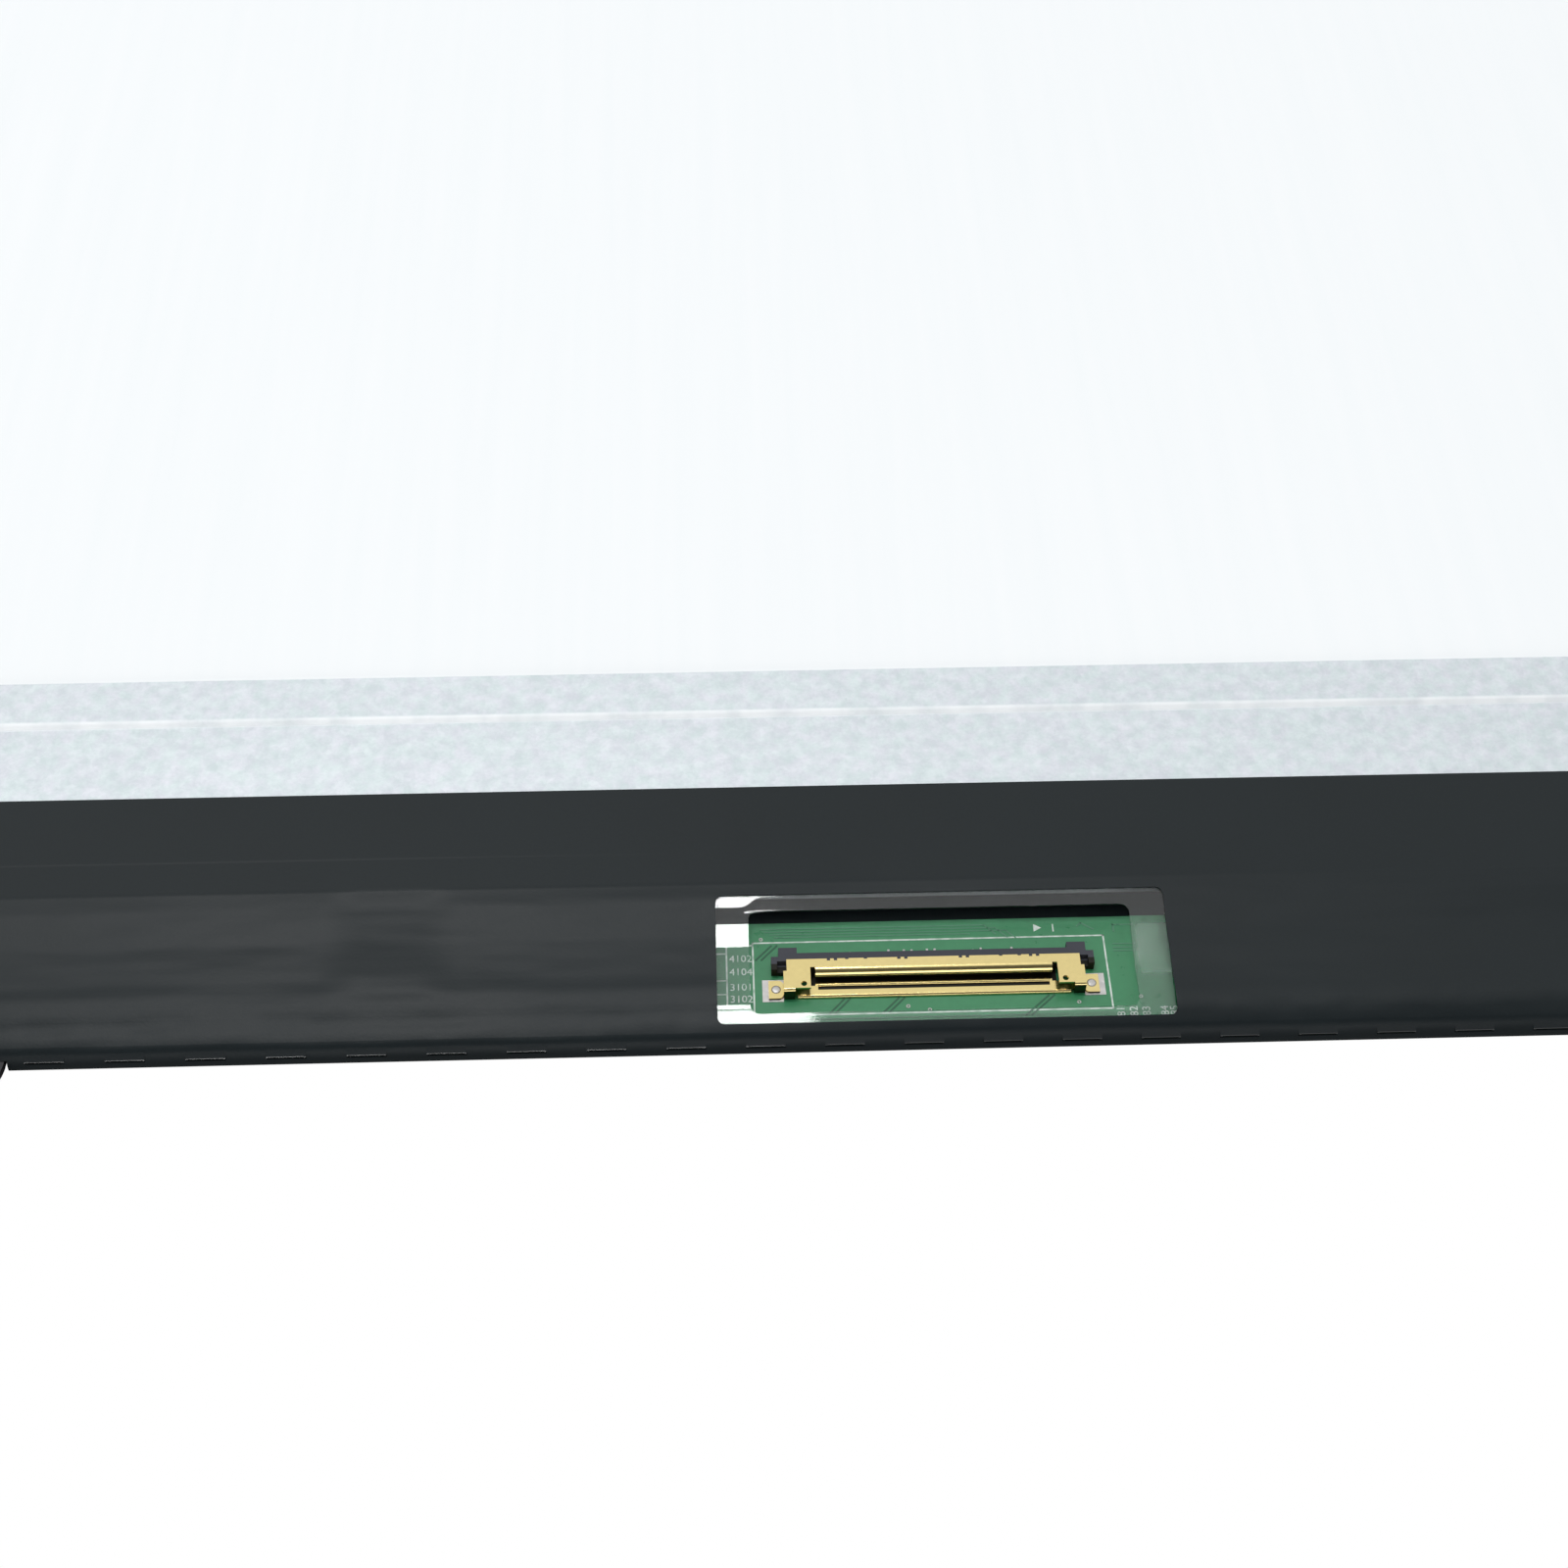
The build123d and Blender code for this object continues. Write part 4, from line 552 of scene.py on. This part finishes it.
tape, tree, shader = grained("black_tape_satin", (0.0050, 0.0095, 0.0115), 0.45, scale=5200.0, variation=0.3,
                             rough_variation=0.06, bump=0.000006)
shader.inputs["Specular IOR Level"].default_value = 0.26
place, along_x, along_y = object_place(tree), along(tree, "X"), along(tree, "Y")
wave_height = product(tree, noise(tree, object_place(tree, Scale=WAVES), 1.0, 2.0),
                      smooth(tree, along_y, ON_SLOPE), WAVE)
dent_height = product(tree, noise(tree, place, DENTS, 1.0), smooth(tree, along_y, BY_FOLD), DENT)
chip_across = calculate(tree, "MULTIPLY", smooth(tree, along_x, CHIP_LEFT), smooth(tree, along_x, CHIP_RIGHT))
chip_up = calculate(tree, "MULTIPLY", smooth(tree, along_y, CHIP_LOW), smooth(tree, along_y, CHIP_HIGH))
over_chip = calculate(tree, "MULTIPLY", chip_across, chip_up)
chip_lean = calculate(tree, "MULTIPLY", calculate(tree, "ADD", along_y, -CHIP_MIDDLE), CHIP_LEAN)
chip_height = calculate(tree, "MULTIPLY", over_chip, chip_lean)
edge_height = product(tree, smooth(tree, along_y, EDGE_UP), smooth(tree, along_x, EDGE_LEFT), EDGE)
brow_height = product(tree, smooth(tree, along_y, BROW_UP), smooth(tree, along_x, BROW_LEFT), BROW)
fold_line = calculate(tree, "ADD", along_y, smooth(tree, along_x, FOLD_LINE_ALONG, *FOLD_LINE))
past_fold_line = calculate(tree, "MAXIMUM", calculate(tree, "MULTIPLY", fold_line, -1000.0), 0.0)
fold_height = product(tree, past_fold_line, past_fold_line, FOLD_ROUNDING)
tape_height = calculate(tree, "ADD", calculate(tree, "ADD", wave_height, dent_height),
                        calculate(tree, "ADD", chip_height, edge_height))
tape_height = calculate(tree, "ADD", tape_height, calculate(tree, "ADD", fold_height, brow_height))
waves = add_node(tree, "ShaderNodeBump", Strength=1.0, Distance=0.001, Height=tape_height)
feed(tree, tree.nodes["relief"].inputs["Normal"], waves.outputs["Normal"])

# Dust: a few pale specks
specks = add_node(tree, "ShaderNodeTexVoronoi", Vector=place, Scale=SPECKS)
speck_pick = add_node(tree, "ShaderNodeSeparateColor", Color=specks.outputs["Color"]).outputs["Red"]
speck = calculate(tree, "MULTIPLY", calculate(tree, "LESS_THAN", specks.outputs["Distance"], SPECK),
                  calculate(tree, "GREATER_THAN", speck_pick, SPECKLESS))
dust = mix(tree, "RGBA", speck, tree.nodes["grain"].outputs["Color"], (0.16, 0.14, 0.13, 1.0))
feed(tree, shader.inputs["Base Color"], dust)
dress(tape, "black_cover_tape", "top_edge_tape")

# Cut edges of the slits along the fold: the same tape, with a smooth glossy burr that the cutter left.
# One burr is modelled as a thin bevelled ridge on the end of a tongue, with a bead at each end, and copied
# to all the slits.
SLIT_PITCH, SLIT_COUNT, FIRST_SLIT = 5.0, 62, -153.9
BURR, BURR_LENGTH, BURR_HEIGHT, BURR_BEVEL, BURR_LEAN = 0.05, 2.35, 0.03, 0.007, math.radians(13.5)
BURR_UP, Z_BURR = 0.115, 1.225
BEAD, BEAD_LENGTH, BEAD_AT = 2 * BURR, 0.12, 1.17
ridges = []
for x, length, width in ((0.0, BURR_LENGTH, BURR), (-BEAD_AT, BEAD_LENGTH, BEAD), (BEAD_AT, BEAD_LENGTH, BEAD)):
    bpy.ops.mesh.primitive_cube_add(size=1.0, location=(FIRST_SLIT + x, Y_FOLD + BURR_UP, Z_BURR),
                                    rotation=(BURR_LEAN, 0.0, 0.0))
    ridge = bpy.context.object
    ridge.scale = (length, width, BURR_HEIGHT)
    bpy.ops.object.transform_apply(location=True, rotation=True, scale=True)
    bevel_edges(ridge, BURR_BEVEL)
    ridges.append(ridge)
for ridge in ridges:
    ridge.select_set(True)
burr = bpy.context.view_layer.objects.active = ridges[0]
bpy.ops.object.join()
burrs = [burr]
for step in range(1, SLIT_COUNT):
    bpy.ops.object.select_all(action="DESELECT")
    burr.select_set(True)
    bpy.context.view_layer.objects.active = burr
    bpy.ops.object.duplicate(linked=False)
    bpy.ops.transform.translate(value=(SLIT_PITCH * step, 0.0, 0.0))
    burrs.append(bpy.context.object)
burr_black, _, shader = grained("burr_black", (0.004, 0.005, 0.006), 0.12, scale=2600.0, variation=0.3,
                                rough_variation=0.12)
shader.inputs["Specular IOR Level"].default_value = 0.9
finish_piece("slit_edges", burrs, burr_black)

# The clear film behind the window: polyester, stuck to the underside of the tape, with a cut-out round the
# connector. It hangs in shallow folds between the edge of the steel and the folded edge of the tape.
FILM_LEFT, FILM_RIGHT, FILM_LOW, FILM_HIGH = -14.4, 15.8, 0.95, 11.1
FILM_THICK, FILM_STEPS = 0.1, (124, 140)
FILM_ROUNDING = 0.08
CUTOUT, CUTOUT_AT, CUTOUT_CORNER, CUTTER_HEIGHT = (24.8, 7.3), (0.6, 5.85), 0.6, 4.0
LEFT_LINE = ((0.95, 1.44), (1.45, 1.55), (2.75, 1.84), (7.0, 2.075), (8.65, 2.425), (9.8, 2.53), (10.6, 2.70),
             (11.1, 2.797))  # height over distance from the folded edge, in the left part of the film
RIGHT_LINE = ((0.95, 1.45), (1.45, 1.555), (3.0, 1.77), (7.0, 2.10), (8.65, 2.33), (9.4, 2.512), (10.6, 2.70),
              (11.1, 2.797))
TOP_STRIP, SIDE_STRIP = 9.5, 5.0  # from here up, the left part of the film ends in another place
TOP_END, TOP_END_SLANT, TOP_END_HALF = -12.0, 0.73, 0.2
SIDE_END, LOW_END = (-11.6, -10.4), (-7.8, -2.1)
LEAN, LEAN_ALONG, LEAN_UP = 0.05, (-12.5, -5.0), (2.4, 4.0)
DROOP, DROOP_LEFT, DROOP_RIGHT, DROOP_LOW, DROOP_HIGH = 0.2, (11.0, 12.9), (12.0, 15.3), (2.6, 5.4), (5.4, 9.0)
FILM_ROUGH, HAZE_ROUGH = 0.05, 0.29
HAZE_LEFT, HAZE_LOW, HAZE_HIGH = (-0.0851, -0.0845), (-0.1050, -0.1040), (-0.1003, -0.1010)


def height_on(line, y):
    """Height on a line of (y, z) points, rounded a little at its points."""
    total = 0.0
    steps = (-2, -1, 0, 1, 2)
    for step in steps:
        at = min(max(y + FILM_ROUNDING * step, line[0][0]), line[-1][0])
        for (y0, z0), (y1, z1) in zip(line, line[1:]):
            if y0 <= at <= y1:
                total += z0 + (z1 - z0) * (at - y0) / (y1 - y0)
                break
    return total / len(steps)


def ease(value, start, end):
    """Smooth step from 0 at start to 1 at end."""
    t = min(max((value - start) / (end - start), 0.0), 1.0)
    return t * t * (3 - 2 * t)


bpy.ops.mesh.primitive_grid_add(x_subdivisions=FILM_STEPS[0], y_subdivisions=FILM_STEPS[1], size=1.0)
film_piece = bpy.context.object
film_piece.scale = (FILM_RIGHT - FILM_LEFT, FILM_HIGH - FILM_LOW, 1.0)
film_piece.location = (X_CONNECTOR + (FILM_LEFT + FILM_RIGHT) / 2, Y_FOLD + (FILM_LOW + FILM_HIGH) / 2, 0.0)
bpy.ops.object.transform_apply(location=True, rotation=True, scale=True)
for vertex in film_piece.data.vertices:
    x, y = vertex.co.x - X_CONNECTOR, vertex.co.y - Y_FOLD
    top_end = TOP_END + TOP_END_SLANT * (y - TOP_STRIP)
    if y > TOP_STRIP:
        share = ease(x, top_end - TOP_END_HALF, top_end + TOP_END_HALF)
    elif y > SIDE_STRIP:
        share = ease(x, *SIDE_END)
    else:
        share = ease(x, *LOW_END)
    level = (1 - share) * height_on(LEFT_LINE, y) + share * height_on(RIGHT_LINE, y)
    lean = LEAN * (1 - ease(x, *LEAN_ALONG)) * (1 - ease(y, *LEAN_UP))
    droop = DROOP * (1 - ease(x, *DROOP_RIGHT)) * ease(x, *DROOP_LEFT)
    droop = droop * ease(y, *DROOP_LOW) * (1 - ease(y, *DROOP_HIGH))
    vertex.co.z = level - lean - droop
thicken = film_piece.modifiers.new("thickness", "SOLIDIFY")
thicken.thickness, thicken.offset = FILM_THICK, 0.0
bpy.ops.object.modifier_apply(modifier="thickness")
bpy.ops.mesh.primitive_cube_add(
    size=1.0, location=(X_CONNECTOR + CUTOUT_AT[0], Y_FOLD + CUTOUT_AT[1], CUTTER_HEIGHT / 2))
cutter = bpy.context.object
cutter.scale = (*CUTOUT, CUTTER_HEIGHT)
bpy.ops.object.transform_apply(location=True, rotation=True, scale=True)
for edge in cutter.data.edges:
    ends = [cutter.data.vertices[i].co for i in edge.vertices]
    edge.select = abs(ends[0].z - ends[1].z) > CUTTER_HEIGHT / 2
bpy.ops.object.mode_set(mode="EDIT")
bpy.ops.mesh.bevel(offset=CUTOUT_CORNER, segments=6, affect="EDGES")
bpy.ops.object.mode_set(mode="OBJECT")
bpy.ops.object.select_all(action="DESELECT")
film_piece.select_set(True)
bpy.context.view_layer.objects.active = film_piece
cut_out = film_piece.modifiers.new("cut_out", "BOOLEAN")
cut_out.operation, cut_out.object, cut_out.solver = "DIFFERENCE", cutter, "EXACT"
bpy.ops.object.modifier_apply(modifier="cut_out")
bpy.data.objects.remove(cutter)
bpy.ops.object.shade_smooth_by_angle(angle=math.radians(35))
film, tree, shader = new_finish("clear_film", (0.97, 0.985, 0.985), FILM_ROUGH)
along_x, along_y = along(tree, "X"), along(tree, "Y")
hazy = calculate(tree, "MULTIPLY", smooth(tree, along_x, HAZE_LEFT),
                 calculate(tree, "MULTIPLY", smooth(tree, along_y, HAZE_LOW), smooth(tree, along_y, HAZE_HIGH)))
feed(tree, shader.inputs["Roughness"],
     calculate(tree, "ADD", calculate(tree, "MULTIPLY", hazy, HAZE_ROUGH), FILM_ROUGH))
shader.inputs["Transmission Weight"].default_value = 1.0
shader.inputs["IOR"].default_value = 1.5
finish_piece("window_film_sheet", [film_piece], film)
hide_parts("window_film")

# The side brackets: black-coated sheet steel, snapped over lugs of the frame, with an ear bent in at each end.
# The ears carry the screws that hold the panel in its lid.
coated, _, _ = grained("black_coated_steel", (0.014, 0.014, 0.016), 0.38, 0.3, scale=4500.0, bump=0.00001)
dress(coated, "left_bracket", "right_bracket")

# The studio: a floor that looks white, and a white surround that is dark behind the camera. A long soft lamp
# above, to the left of the connector, gives the sheen on the tape and the white patches on the film.
# A weak lamp low in front lights the fold and the mouth of the connector.
FLOOR_SIZE, FLOOR_LEVEL = 6.0, -0.0002
DARK_WAY = (0.0, -0.707, 0.707)  # towards the camera
SURROUND, DARK_SURROUND, DARK_SPAN = 0.88, 0.10, (0.67, 0.90)
scene = bpy.context.scene
scene.view_settings.view_transform = "Standard"
bpy.ops.mesh.primitive_plane_add(size=FLOOR_SIZE, location=(0.0, 0.0, FLOOR_LEVEL))
floor = bpy.context.object
floor.name = "studio_floor"
floor_paint, tree, shader = new_finish("floor_paint", (0.30, 0.30, 0.30), 0.7)
shader.inputs["Specular IOR Level"].default_value = 0.1
seen = tree.nodes.new("ShaderNodeLightPath")
white = add_node(tree, "ShaderNodeEmission", Strength=1.0)
paint = add_node(tree, "ShaderNodeMixShader", Fac=seen.outputs["Is Camera Ray"])
feed(tree, paint.inputs[1], shader.outputs[0])
feed(tree, paint.inputs[2], white.outputs[0])
feed(tree, tree.nodes["Material Output"].inputs["Surface"], paint.outputs[0])
floor.data.materials.append(floor_paint)

world = bpy.data.worlds.new("studio_surround")
scene.world = world
world.use_nodes = True
sky = world.node_tree
background = sky.nodes["Background"]
background.inputs["Color"].default_value = (0.97, 0.99, 1.0, 1.0)
direction = sky.nodes.new("ShaderNodeTexCoord").outputs["Generated"]
towards_camera = add_node(sky, "ShaderNodeVectorMath", operation="DOT_PRODUCT", Vector=direction)
towards_camera.inputs[1].default_value = DARK_WAY
brightness = smooth(sky, towards_camera.outputs["Value"], DARK_SPAN, SURROUND, DARK_SURROUND)
feed(sky, background.inputs["Strength"], brightness)


def area_lamp(name, width, depth, power, place, tilt=0.0):
    """Rectangular lamp that looks down, or is tilted forward by an angle in degrees."""
    data = bpy.data.lights.new(name, "AREA")
    data.shape, data.size, data.size_y, data.energy = "RECTANGLE", width, depth, power
    lamp_object = bpy.data.objects.new(name, data)
    bpy.context.collection.objects.link(lamp_object)
    lamp_object.location = place
    lamp_object.rotation_euler = (math.radians(tilt), 0.0, 0.0)


area_lamp("long_soft_lamp", 0.40, 0.20, 4.1, (-0.28, 0.12, 1.1))
area_lamp("low_front_lamp", 0.60, 0.35, 1.2, (-0.1, -0.85, 0.22), tilt=74.0)

# The camera stands above the lower edge, a little to the left of the connector, and looks down at the board.
# It is turned and rolled a little, as the slope of the edges in the picture shows.
CAMERA_AT, LENS, SENSOR, NEAREST = (-0.1119, -0.18676, 0.12789), 54.0, 36.0, 0.005
elevation, azimuth, roll = math.radians(52.0), math.radians(-2.809), math.radians(1.099)
ahead = Vector((-math.sin(azimuth) * math.cos(elevation), math.cos(azimuth) * math.cos(elevation),
                -math.sin(elevation)))
sideways = Vector((math.cos(azimuth), math.sin(azimuth), 0.0))
upright = sideways.cross(ahead)
right = math.cos(roll) * sideways + math.sin(roll) * upright
up = -math.sin(roll) * sideways + math.cos(roll) * upright
camera_data = bpy.data.cameras.new("camera")
camera_data.lens, camera_data.sensor_width = LENS, SENSOR
camera_data.clip_start = NEAREST
camera = bpy.data.objects.new("camera", camera_data)
bpy.context.collection.objects.link(camera)
camera.matrix_world = Matrix.Translation(CAMERA_AT) @ Matrix((right, up, -ahead)).transposed().to_4x4()
scene.camera = camera
